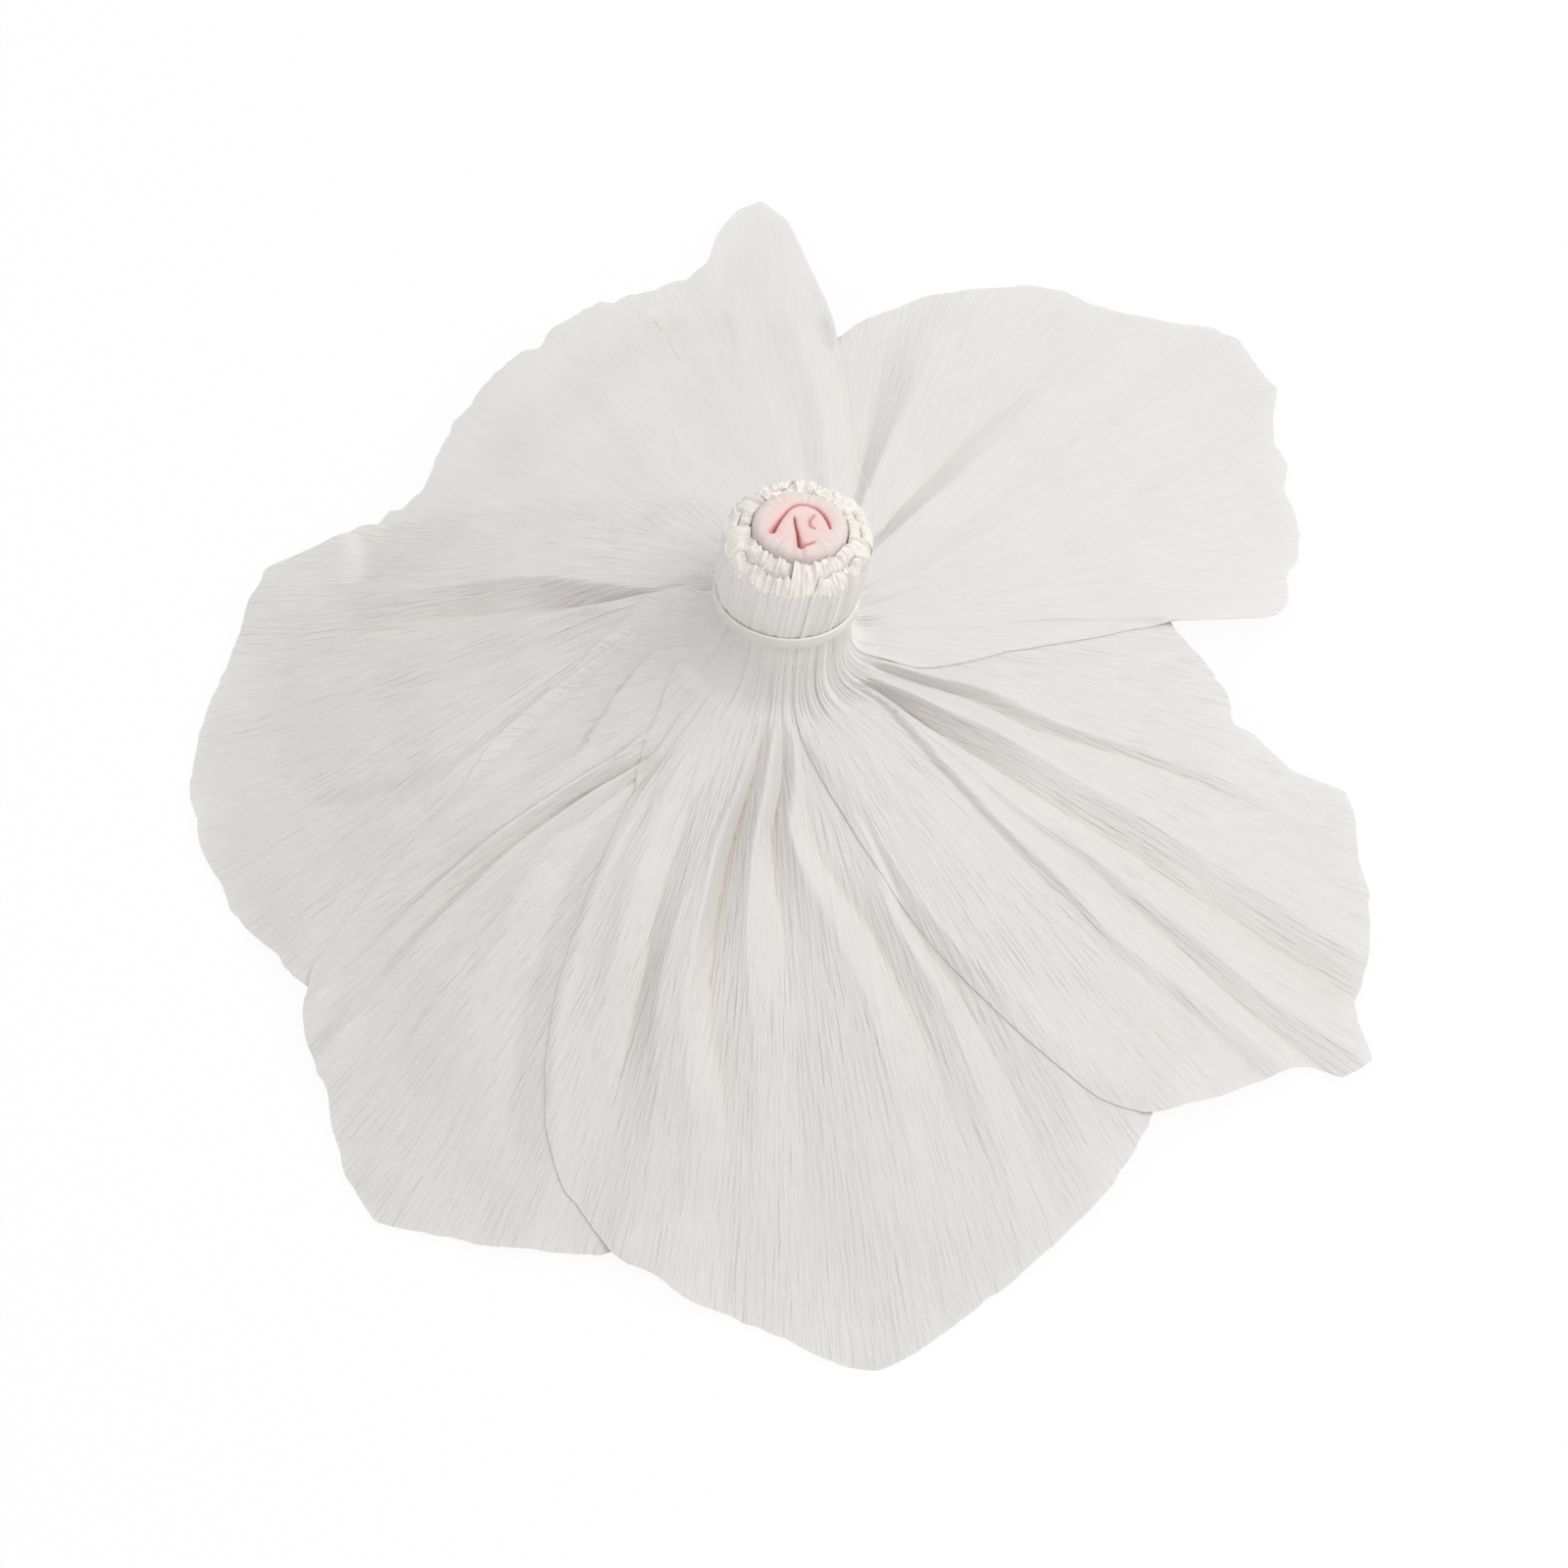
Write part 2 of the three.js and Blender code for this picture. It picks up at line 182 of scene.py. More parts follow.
# Cut end of the neck: fraying and crumples have a height and a spacing, and the slope a drop by azimuth
END_SHIFT = np.array([1.6, 1.6, 0.9])
END_RISE = 0.2
FRAYING = ((0.5, 6), (0.3, 2.2))
CRUMPLES = ((1.15, 1.7), (0.5, 0.8))
CRUMPLE_RADIUS = 13
CRUMPLE_APART = 7.3
CRUMPLE_DROP = 0.9
CROWN_RADIUS = 15.2
CROWN_INSET = 0.1
CROWN_ROUNDING = 0.4
CROWN_SQUARENESS = 4
OUTER_DROP = 0.4
INNER_DROP = 1.4
CUT_SLOPE = ([0, 45, 90, 135, 180, 225, 265, 310, 360], [1.5, 0.8, 0.6, 1.4, 2.6, 4, 4.6, 3.4, 1.5])
CUT_SLOPE_BOW = 1.3

# Each petal is a fan of grain lines from its clockwise edge to its hidden edge: azimuth, and length from
# the crease. root has the azimuths at the neck of the first, middle and last line. rim follows the cut edge
# point by point where it shows. folds are the ridges and valleys of the knife folds, each as points of
# distance from the crease, azimuth and lift over the dome. softness is how far, in azimuth, a fold is
# rounded off, and crimp is how strongly the ridges of the crepe stand out.
PETALS = {
    "petal_rear": {
        "softness": 2.5,
        "crimp": 0.22,
        "root": (45, 87.5, 130),
        "lines": [
            (50, 4), (62, 17), (71, 35), (78, 53), (82, 76), (85, 89), (88, 107), (90, 120), (92, 124.5),
            (94.5, 120.5), (97.5, 105), (101.5, 96), (107, 93), (111.5, 94), (117, 92), (122, 88.5),
            (128, 87.5), (134, 83), (141, 79), (148.5, 75.5), (153, 78), (159, 80), (167, 78),
        ],
        "folds": [
            [(0, 50, 3.2), (20, 63, 4), (50, 78, 4.2), (90, 85.5, 2.6), (120, 89, 1.6)],
            [(0, 70, 3.2), (28, 85, 4.2), (78, 90, 3), (124, 92, 1.3)],
            [(0, 74, 3), (28, 88.6, 3.3), (78, 93, 2.3), (124, 94, 1.1)],
            [(0, 80, 3.2), (28, 94, 3.9), (78, 98, 2.7), (110, 99, 1.6)],
            [(0, 90, 3), (30, 106, 3.4), (80, 108, 2.2)],
            [(0, 110, 2.6), (30, 125, 3), (80, 125, 1.6)],
            [(0, 125, 1.8), (30, 145, 2.2), (75, 145, 1.1)],
            [(0, 140, 1.2), (30, 150, 1.6), (80, 152, 1)],
            [(0, 160, 0), (80, 162, 0)],
        ],
        "rim": [
            (17, 51.6), (15.3, 62.6), (15.2, 70.7), (14.5, 79), (12.5, 93), (6, 120), (1.5, 136),
            (-4.5, 143.5), (-10, 140), (-15, 131), (-17, 120), (-22, 113.3), (-25, 113), (-29, 109.5),
            (-35, 107.5), (-38, 104.7), (-41, 105.3), (-45, 103), (-50, 99.5), (-53, 96.5), (-55, 91.5),
            (-58.5, 91), (-61, 88.5), (-65, 84.5), (-69, 76.5), (-73, 70), (-76, 62), (-78, 55),
            (-80, 49.8), (-84, 46), (-87, 46.5), (-89, 42), (-95, 40),
        ],
    },
    "petal_left": {
        "root": (93, 133, 174),
        "lines": [
            (100, 4), (112, 14), (119, 21), (134, 30), (145.5, 45), (152.5, 62), (157, 81), (162, 94),
            (165, 99.5), (171, 100.5), (175.5, 101), (180.5, 103.5), (184, 105.5), (189, 108),
            (193, 108), (197.5, 108), (200.5, 107), (205, 106), (209, 104.5), (213.5, 102.5),
            (218.5, 101.5), (224, 101.5), (231, 99),
        ],
        "folds": [
            [(0, 100, 3.2), (20, 119, 3.4), (30, 134, 3.4), (60, 152, 3.4), (95, 162, 2.2)],
            [(0, 128, 3.2), (20, 140, 3.8), (40, 156, 4), (70, 162, 3.4), (100, 166, 2)],
            [(8, 178, 3.6), (13, 180.4, 4.2), (20, 176, 5.2), (27, 173, 6.2), (35, 169.8, 6.2),
             (50, 169.2, 5.48), (70, 169.8, 4.28), (100, 171.5, 2.6)],
            [(8, 182.6, 3), (13, 182.6, 2.4), (20, 180, 1.6), (27, 178.4, 1), (35, 176.4, 0.68),
             (50, 174.8, 0.92), (70, 174.6, 1.4), (100, 175.5, 0.68)],
            [(8, 185.4, 3.6), (13, 184.6, 4), (18, 185.6, 4.5), (32, 183, 5), (43, 182.8, 4.8),
             (58, 183.8, 3.8), (75, 184, 2.6), (105, 184, 1.4)],
            [(8, 195, 2.8), (13, 195.5, 2.2), (18, 194, 1.7), (32, 191.4, 1.1), (43, 189, 0.9),
             (58, 187.6, 1.04), (75, 187.6, 0.92), (105, 188, 0.32)],
            [(23, 203, 2.6), (57, 203, 3.32), (72, 200.6, 2.84), (82, 197.6, 2.12), (105, 196, 1.16)],
            [(23, 206.5, 1.4), (57, 205.4, 1.16), (72, 202.8, 0.92), (82, 199.4, 0.92),
             (105, 198, 0.56)],
            [(55, 208.6, 2.36), (72, 207.6, 2.12), (85, 205.8, 1.64), (105, 204, 0.92)],
            [(55, 211.4, 0.68), (72, 209.6, 0.56), (85, 207.6, 0.56), (105, 206, 0.44)],
            [(0, 215, 1), (60, 215, 1.3), (100, 214, 1.1)],
            [(0, 224, 0.2), (100, 224, 0.2)],
            [(0, 231, 0), (100, 231, 0)],
        ],
        "rim": [
            (-106, 36.5), (-113, 33.5), (-116, 27), (-118.5, 15), (-121, 4), (-124, -8), (-125.5, -20),
            (-125, -25), (-122.5, -31), (-122, -36), (-117, -46), (-111, -56), (-103, -65), (-95, -74),
        ],
    },
    "petal_left_front": {
        "root": (150, 232, 262),
        "lines": [
            (145, 4), (152, 10), (163, 14.5), (171, 18.5), (178.5, 23), (184, 29), (189.5, 35),
            (203, 54), (209, 71), (213.5, 89), (217.5, 103), (220.5, 107), (223.5, 110), (228, 115),
            (233, 124), (237, 128), (243, 124), (249, 121), (255.5, 116.5), (263, 109), (271, 100.5),
            (277, 104), (284, 110), (291, 103),
        ],
        "folds": [
            [(0, 145, 3.2), (14, 163, 3.3), (35, 190, 3.3), (55, 203, 3.2), (90, 213.5, 2.2)],
            [(0, 190, 3.2), (20, 203, 3.4), (40, 209, 3.4), (70, 212, 3), (100, 215, 2)],
            [(6, 203, 3.16), (12, 208, 2.88), (25, 212.6, 2.6), (43, 213.6, 2.6), (66, 215, 2.32),
             (100, 217, 1.2)],
            [(6, 205, 2.8), (12, 210.4, 3), (25, 214.6, 4.6), (43, 215.2, 4.84), (66, 216.4, 4.28),
             (85, 217.6, 3.16), (105, 218.4, 2.04)],
            [(6, 208, 2.2), (12, 214.6, 1.8), (18, 218, 1.2), (33, 217.6, 1.2), (50, 217.6, 1.48),
             (70, 218.8, 1.06), (87, 220, 0.36), (97, 221, 0.2), (110, 221.6, 0.2)],
            [(6, 212, 2.4), (12, 218, 2.2), (18, 220.4, 2.8), (33, 219.4, 4), (50, 219.4, 3.72),
             (70, 220.6, 3.16), (87, 221.6, 2.32), (97, 222.6, 1.76), (110, 223.4, 1.2)],
            [(12, 222, 1.2), (33, 222.4, 1.34), (50, 222, 1.48), (70, 223, 1.2), (100, 225.5, 0.5)],
            [(33, 223.6, 1.3), (45, 224, 1.8), (55, 225, 2.4), (78, 231, 2.2), (100, 236.5, 1.2),
             (125, 237, 0.2)],
            [(23, 224.2, 1.2), (37, 226, 1), (50, 229.5, 0.8), (57, 232, 0.8), (73, 236.4, 0.7),
             (88, 240.4, 0.6), (103, 244.8, 0.4)],
            [(23, 226.5, 2.6), (37, 232.6, 2.9), (50, 236.2, 3), (57, 238, 2.9), (73, 241.4, 2.6),
             (88, 244.8, 2.2), (103, 248.8, 1.4)],
            [(23, 240, 0.8), (57, 246, 0.6), (88, 250, 0.4), (103, 252, 0.2)],
            [(0, 258, 0.15), (100, 258, 0.1)],
            [(0, 291, 0), (100, 291, 0)],
        ],
        "rim": [
            (-95, -68), (-96.5, -76), (-96, -82), (-93, -90), (-90, -99), (-86, -114), (-83, -119),
            (-80, -123.5), (-65, -127.5), (-50, -130.5), (-35, -131),
        ],
    },
    "petal_front": {
        "root": (200, 266, 332),
        "lines": [
            (212, 4), (222, 11), (229, 27), (235, 51), (240, 73), (245, 91), (251, 108), (256.5, 116.5),
            (260, 119.5), (265, 124.5), (268.5, 128), (273, 133), (277, 136.5), (280, 134), (282.5, 131),
            (286, 126.5), (289.5, 123), (294, 119.5), (299, 115), (305, 108), (314, 100), (321, 81),
            (325, 41), (327, 4),
        ],
        "folds": [
            [(0, 212, 3.2), (20, 231, 3.4), (50, 236, 3.4), (80, 242, 3.2), (110, 250, 2)],
            [(0, 236, 3.2), (30, 243, 4.2), (60, 246, 4), (100, 249, 2.4)],
            [(10, 252, 4), (24.5, 248, 3.6), (32.7, 248.5, 3.2), (48, 249.4, 2.2), (65, 251.2, 1.4),
             (86, 252.2, 0.9), (118, 254.6, 0.3)],
            [(3, 261.6, 4.6), (12.7, 259, 5.2), (24.5, 256.9, 5.5), (32.7, 255.2, 5.5), (48, 253.2, 5.2),
             (65, 254, 4.6), (86, 256.6, 3.4), (118, 257, 1.8)],
            [(3, 263.4, 5.2), (12.7, 261, 6), (24.5, 258.4, 6.6), (32.7, 257.4, 6.6), (48, 257.2, 6),
             (65, 257.6, 5), (86, 260.6, 3.4), (113, 262, 1.6)],
            [(3, 264.8, 3.6), (12.7, 263, 2.6), (24.5, 260.4, 0.5), (32.7, 259.4, 0.3), (48, 258.9, 0.5),
             (65, 260.6, 0.9), (86, 264.6, 0.9), (113, 265, 0.6)],
            [(3, 270, 5.3), (12.7, 268.2, 5.4), (24.5, 266.1, 5.2), (32.7, 265, 4.8), (48, 264.9, 3.8),
             (65, 266.6, 2.6), (86, 268, 1.5), (120, 268, 0.3)],
            [(3, 273.6, 2.2), (12.7, 272.4, 0.4), (24.5, 269.2, 0.3), (32.7, 269.3, 0.3), (48, 271, 0.7),
             (65, 272, 0.9), (100, 272.4, 0.44), (130, 272.4, 0.2)],
            [(3, 278.6, 3.6), (12.7, 277.6, 3.2), (24.5, 273.2, 3.8), (32.7, 274.9, 3.8),
             (48, 279.6, 3.4), (65, 282.4, 3.2), (86, 283, 2), (125, 283, 0.3)],
            [(3, 281, 2.6), (12.7, 280, 1.2), (24.5, 278, 0.8), (32.7, 280, 0.6), (48, 285.2, 0.5),
             (65, 287.4, 0.5), (86, 288.2, 0.6), (125, 288, 0.2)],
            [(5, 290, 2.2), (24.5, 290, 2.3), (32.7, 291, 2.6), (48, 289.3, 3), (65, 291.6, 3),
             (86, 291.6, 2), (120, 291, 0.2)],
            [(24.5, 291.5, 2), (32.7, 292, 1.6), (48, 291.8, 1), (65, 294, 0.8), (86, 295, 0.6),
             (120, 294, 0.3)],
            [(22, 293.5, 2.2), (33, 292.8, 2.7), (50, 295, 3), (67, 298.4, 2.9), (87, 302, 2.5),
             (98, 304, 2.1), (106, 307, 1.6)],
            [(0, 308, 0.4), (60, 307, 0.6), (100, 311, 0.5)],
            [(0, 320, 0), (100, 320, 0)],
        ],
        "rim": [
            (-30, -35), (-33.8, -45), (-38.5, -57.6), (-41.5, -67), (-45, -80.5), (-46.7, -95),
            (-46, -108), (-42, -119), (-33, -131), (-20, -139), (0, -148), (12, -153.5), (19, -154.5),
            (26, -151), (40, -140), (54, -128), (65, -117), (71, -107), (75, -100),
        ],
    },
    "petal_right": {
        "root": (280, 334.5, 389),
        "lines": [
            (283, 4), (285.8, 13), (288.5, 24), (290.5, 36), (294, 56), (298, 77), (302.5, 99),
            (307, 108), (312, 112), (315, 114.5), (317, 116), (320, 120.5), (323.2, 129.5), (327.2, 120),
            (331.2, 118), (338, 112.5), (341.5, 108.5), (344.5, 106.5), (348.5, 103), (350, 90),
            (353.5, 79.5), (359, 76), (365, 70.5), (369, 66), (375, 64), (384, 51), (390, 4),
        ],
        "folds": [
            [(0, 283, 3), (30, 290, 3.2), (60, 295, 3.2), (100, 303, 2.2)],
            [(0, 300, 3), (30, 305, 3.8), (60, 308, 3.6), (110, 309, 2.2)],
            [(5, 325, 3.29), (10, 323.5, 3.52), (15, 321, 3.52), (25, 317.6, 3.29), (40, 315.4, 2.94),
             (60, 314.8, 2.6), (75, 314.3, 2.48), (95, 315.8, 1.91), (115, 316.4, 0.99)],
            [(5, 326.2, 4.21), (10, 325.2, 4.9), (15, 322.8, 4.9), (25, 319.4, 4.79), (40, 316.9, 4.44),
             (60, 316.2, 3.98), (75, 315.6, 3.52), (95, 317.6, 2.94), (115, 318.2, 2.14)],
            [(5, 327, 3.75), (10, 326.2, 3.75), (20, 323.6, 3.61), (40, 320.6, 3.11), (60, 321.3, 2.26),
             (80, 320.8, 1.75), (100, 320.4, 1.24), (125, 320.2, 0.9)],
            [(5, 327.8, 4.09), (10, 327.2, 4.09), (20, 324.8, 3.91), (40, 322, 3.54), (60, 322.8, 3.54),
             (80, 322.7, 3.62), (100, 322.7, 3.45), (125, 323, 3.11)],
            [(0, 329, 1.91), (10, 329.4, 1.22), (20, 328.6, 1.18), (30, 328, 0.98), (40, 327.2, 1.24),
             (60, 327.8, 1.24), (80, 327.8, 1.24), (100, 328, 1.16), (118, 327.8, 1.07)],
            [(0, 332.6, 4.9), (10, 333.4, 5.82), (20, 333.8, 5.84), (30, 334.4, 5.84), (40, 333.6, 4.98),
             (60, 332.8, 4.81), (80, 332.4, 4.47), (100, 331.9, 4.04), (118, 331.2, 3.62)],
            [(2, 343, 2.14), (10, 343.6, 1.68), (20, 344.2, 1.39), (26, 343.6, 1.18), (35, 341.4, 1.18),
             (45, 341.8, 1.58), (60, 343, 1.75), (80, 343, 1.92), (100, 341.8, 1.75)],
            [(2, 344.6, 4.4), (10, 345.2, 4.4), (20, 346.2, 4.18), (26, 346.3, 4.1), (35, 344.1, 3.83),
             (45, 343.5, 3.49), (60, 344.4, 3.19), (80, 344.2, 2.77), (100, 342.8, 2)],
            [(0, 348.6, 2.6), (30, 350, 2.6), (60, 352, 2.4), (100, 349, 1.4)],
            [(18, 351, 2.3), (28, 353.5, 1.9), (38, 356.6, 1.7), (48, 360.5, 1.5), (55, 363, 1.4),
             (70, 366, 1)],
            [(8, 352, 2.2), (18, 354.8, 2.8), (28, 361, 3), (38, 364, 3), (48, 367.3, 2.8),
             (55, 369.8, 2.4), (66, 372, 1.6)],
            [(0, 376, 0.4), (60, 378, 0.4)],
            [(0, 386, 0), (50, 386, 0)],
        ],
        "rim": [
            (63, -100), (72, -102), (85, -98.5), (100, -91.5), (107, -89.5), (113, -92.5), (119, -88.5),
            (117.5, -80), (117, -75), (120, -67), (121.5, -55), (122, -49), (121, -40), (120.5, -28),
            (119.5, -24), (108, -20), (100, -12), (96, -10.5), (95, -2), (90, 7), (85, 12),
        ],
    },
    "petal_right_rear": {
        "softness": 0.7,
        "crimp": 0.55,
        "root": (-13, 38, 76),
        "lines": [
            (-12, 5), (-9, 11), (-2, 23), (4, 36), (7.5, 58), (9.5, 85), (12, 94.5), (17, 100),
            (22, 106), (27, 107.5), (31.5, 112), (37, 123.5), (40, 124), (43.5, 127.5), (46.5, 125),
            (48.5, 121), (51, 117.5), (56, 112), (62, 110.5), (70, 99), (75.5, 89), (82, 75), (90, 80),
            (100, 86.5), (108, 87),
        ],
        "folds": [
            [(0, -12, 3.2), (20, -4, 3.4), (50, 6, 3.4), (80, 9.5, 2.6), (100, 12, 2)],
            [(0, 15, 3.2), (30, 18, 3.8), (60, 17, 3), (100, 20, 1.8)],
            [(8, 29, 2.8), (20, 32.6, 2.9), (30, 34, 2.9), (50, 35, 2.8), (100, 36, 1.6)],
            [(8, 31.4, 3.7), (20, 35, 3.7), (30, 36, 3.4), (50, 36.5, 3), (100, 37.5, 1.7)],
            [(15, 41.4, 3), (30, 43, 2.9), (47, 44.4, 2.8), (70, 45, 2.5), (110, 45, 1.2)],
            [(15, 43.8, 3.8), (30, 45.2, 3.6), (47, 46.2, 3.2), (70, 47, 2.7), (110, 47, 1.4)],
            [(8, 57, 4.4), (12, 56.6, 5), (18, 54.2, 5.4), (38, 52.4, 5), (60, 51.6, 4), (90, 51, 2.5),
             (120, 50.5, 1.6)],
            [(8, 66, 2.2), (12, 65, 1.6), (18, 62, 1.3), (38, 58.5, 1.5), (60, 56, 1.8), (90, 54.6, 1.6),
             (120, 54, 1)],
            [(18, 68, 2.4), (38, 66, 2.8), (60, 63, 2.6), (110, 62, 1.4)],
            [(24, 72, 3.4), (40, 70.6, 3.8), (60, 70, 3.4), (90, 70, 1.9)],
            [(24, 76, 1), (37, 75.6, 0.8), (50, 76, 0.7), (70, 76, 0.8), (90, 75, 0.8)],
            [(0, 83, 0.6), (75, 83, 0.6)],
            [(0, 90, 0.2), (80, 90, 0.2)],
            [(0, 108, 0), (80, 108, 0)],
        ],
        "rim": [
            (26.6, -6.3), (37, -4.5), (47.3, -0.4), (57.2, 2.6), (67, 6.3), (73.5, 9.6), (83.5, 13.6),
            (95, 16.2), (104, 18), (109, 20.5), (111, 25), (111, 32), (114.5, 36), (115.5, 47),
            (113, 56), (114, 63), (111.5, 69), (112, 78), (113.5, 86), (110, 91.5), (106, 101),
            (100, 104), (90, 105.5), (80, 107), (71, 110), (67, 113.5), (57, 114), (45, 111.5),
            (33, 109), (25, 103), (19, 99), (13, 93), (2, 98), (-8, 102), (-20, 104), (-33, 100.5),
        ],
    },
}
PETAL_ORDER = list(PETALS)


# Small sums that the whole flower uses
def smooth(value, low, high):
    share = np.clip((value - low) / (high - low), 0, 1)
    return share * share * (3 - 2 * share)


def mix(first, second, share):
    return first + (second - first) * share


def blurred(values, width):
    """Values along a line, averaged over a bell of the given width in samples."""
    reach = max(1, int(3 * width))
    bell = np.exp(-0.5 * (np.arange(-reach, reach + 1) / max(width, 0.01)) ** 2)
    padded = np.concatenate([np.full(reach, values[0]), values, np.full(reach, values[-1])])
    return np.convolve(padded, bell / bell.sum(), mode="valid")


def unevenness(places, spacing, seed):
    """Smooth random values from -1 to 1 along a line, one new value for each spacing."""
    places = np.asarray(places, float) / spacing
    start = math.floor(places.min()) - 1
    knots = np.random.default_rng(seed).uniform(-1, 1, int(places.max() - start) + 4)
    cell = np.floor(places - start).astype(int)
    share = places - start - cell
    share = share * share * (3 - 2 * share)
    return mix(knots[cell], knots[cell + 1], share)


def layered(places, layers, seed):
    """Unevenness in layers, each with its height and its spacing."""
    return sum(height * unevenness(places, spacing, seed + i) for i, (height, spacing) in enumerate(layers))


def patchwork(x, y, cell, seed):
    """Smooth random values from 0 to 1 over an area, one new value for each cell."""
    size, middle = 97, 400
    knots = np.random.default_rng(seed).uniform(0, 1, (size, size))
    x, y = np.asarray(x, float) / cell + middle, np.asarray(y, float) / cell + middle
    left, low = np.floor(x).astype(int), np.floor(y).astype(int)
    across, up = x - left, y - low
    across, up = across * across * (3 - 2 * across), up * up * (3 - 2 * up)
    right, high = (left + 1) % size, (low + 1) % size
    left, low = left % size, low % size
    below = mix(knots[left, low], knots[right, low], across)
    above = mix(knots[left, high], knots[right, high], across)
    return mix(below, above, up)


def crumpled(x, y, cell, seed):
    """Sharp ridges from 0 to 1, as in paper that is crushed together."""
    return 1 - np.abs(2 * patchwork(x, y, cell, seed) - 1)


def zigzag(phase):
    """Sharp folds from -1 to 1, one there and back for each whole number."""
    return 2 * np.abs(2 * (phase - np.floor(phase)) - 1) - 1


def dome_height(x, y):
    inside = 1 - np.abs(x / DOME_HALF_WIDTH) ** DOME_SQUARENESS
    inside = inside - np.abs(y / DOME_HALF_DEPTH) ** DOME_SQUARENESS
    return DOME_HEIGHT * np.sign(inside) * np.abs(inside) ** DOME_FLARE


def leaned(points, share):
    """Points of the upright neck, turned towards where the neck leans."""
    axis = np.array([-math.sin(LEAN_TOWARDS), math.cos(LEAN_TOWARDS), 0.0])
    pivot = np.array([0.0, 0.0, DOME_HEIGHT])
    offset = points - pivot
    angle = np.asarray(LEAN * share)[..., None]
    across = np.cross(np.broadcast_to(axis, offset.shape), offset)
    along = (offset @ axis)[..., None] * axis
    return pivot + offset * np.cos(angle) + across * np.sin(angle) + along * (1 - np.cos(angle))


def polar(radius, azimuth, height):
    return np.stack([radius * np.cos(azimuth), radius * np.sin(azimuth), height + 0 * radius], axis=-1)


# The frame's origin lies under the middle of the outline, and the flower is laid out round its own neck
band_low, band_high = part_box("neck_band")
FRAME_SHIFT = np.array((band_low + band_high) / 2) / MM - np.array(BAND_CENTRE)

# Soft creases that all layers share, so that they stay as far apart as they lie
CREASES = [
    {
        "azimuth": chance.uniform(0, 360),
        "width": chance.uniform(0.9, 2.2),
        "height": chance.uniform(-0.12, 0.16),
        "start": chance.uniform(0, 75),
        "run": chance.uniform(22, 60),
    }
    for _ in range(120)
]
WAVES = [
    (chance.uniform(0, 2 * math.pi), chance.uniform(16, 44), chance.uniform(0, 2 * math.pi))
    for _ in range(7)
]


def shared_creases(x, y):
    out = np.hypot(x, y) - CREASE_RADIUS
    azimuth = np.degrees(np.arctan2(y, x))
    total = np.zeros_like(x)
    for crease in CREASES:
        turn = (azimuth - crease["azimuth"] + 180) % 360 - 180
        start, stop = crease["start"], crease["start"] + crease["run"]
        along = smooth(out, start, start + CREASE_RISE)
        along = along * (1 - smooth(out, stop - CREASE_FALL, stop))
        total += crease["height"] * along * np.exp(-((turn / crease["width"]) ** 2))
    for heading, length, start in WAVES:
        distance = x * math.cos(heading) + y * math.sin(heading)
        total += WAVE_HEIGHT * np.sin(2 * math.pi * distance / length + start) * smooth(out, *WAVE_START)
    return total


# Petals
def near_to(azimuth, other):
    """The same azimuth, counted in the turn that brings it nearest to the other."""
    return azimuth + 360 * np.round((other - azimuth) / 360)


def root_azimuth(root, share):
    """Azimuth at the neck, on a smooth curve through the first, middle and last of them."""
    first, middle, last = root
    slope = 4 * middle - 3 * first - last
    bow = 2 * first + 2 * last - 4 * middle
    return first + share * slope + share**2 * bow


def cut_edge(petal, first, last):
    """Azimuth and length along the petal's edge: its rim, and beyond that its grain lines' ends."""
    table = np.array(petal["lines"], float)
    root = root_azimuth(petal["root"], (table[:, 0] - first) / (last - first))
    turned = mix(table[:, 0], root, np.exp(-table[:, 1] / GATHER_REACH))
    rim = np.array(petal["rim"], float)
    rim_azimuth = near_to(np.degrees(np.arctan2(rim[:, 1], rim[:, 0])), 0.5 * (first + last))
    rim_out = np.hypot(rim[:, 0], rim[:, 1]) - CREASE_RADIUS
    order = np.argsort(rim_azimuth)
    rim_azimuth, rim_out = rim_azimuth[order], rim_out[order]
    before = (turned < rim_azimuth[0] - RIM_START_TURN) & (table[:, 1] < rim_out[0] - RIM_START_STEP)
    after = turned > rim_azimuth[-1] + RIM_END_TURN
    azimuth = np.concatenate([turned[before], rim_azimuth, turned[after]])
    out = np.concatenate([table[before, 1], rim_out, table[after, 1]])
    return np.maximum.accumulate(azimuth + LEAST_TURN * np.arange(len(azimuth))), out


def rim_length(petal, azimuth, root, seed):
    """Length of each grain line, so that the petal ends on its cut edge."""
    edge_azimuth, edge_out = cut_edge(petal, azimuth[0], azimuth[-1])
    table = np.array(petal["lines"], float)
    length = np.interp(azimuth, table[:, 0], table[:, 1])
    for _ in range(RIM_PASSES):
        turned = mix(azimuth, root, np.exp(-length / GATHER_REACH))
        length = mix(length, np.interp(turned, edge_azimuth, edge_out), RIM_PASS_SHARE)
    length = np.maximum(blurred(length, RIM_BLUR * len(azimuth)), SHORTEST_GRAIN)
    return length + layered(azimuth, SCALLOPS, seed) * smooth(length, *LONG_GRAIN)


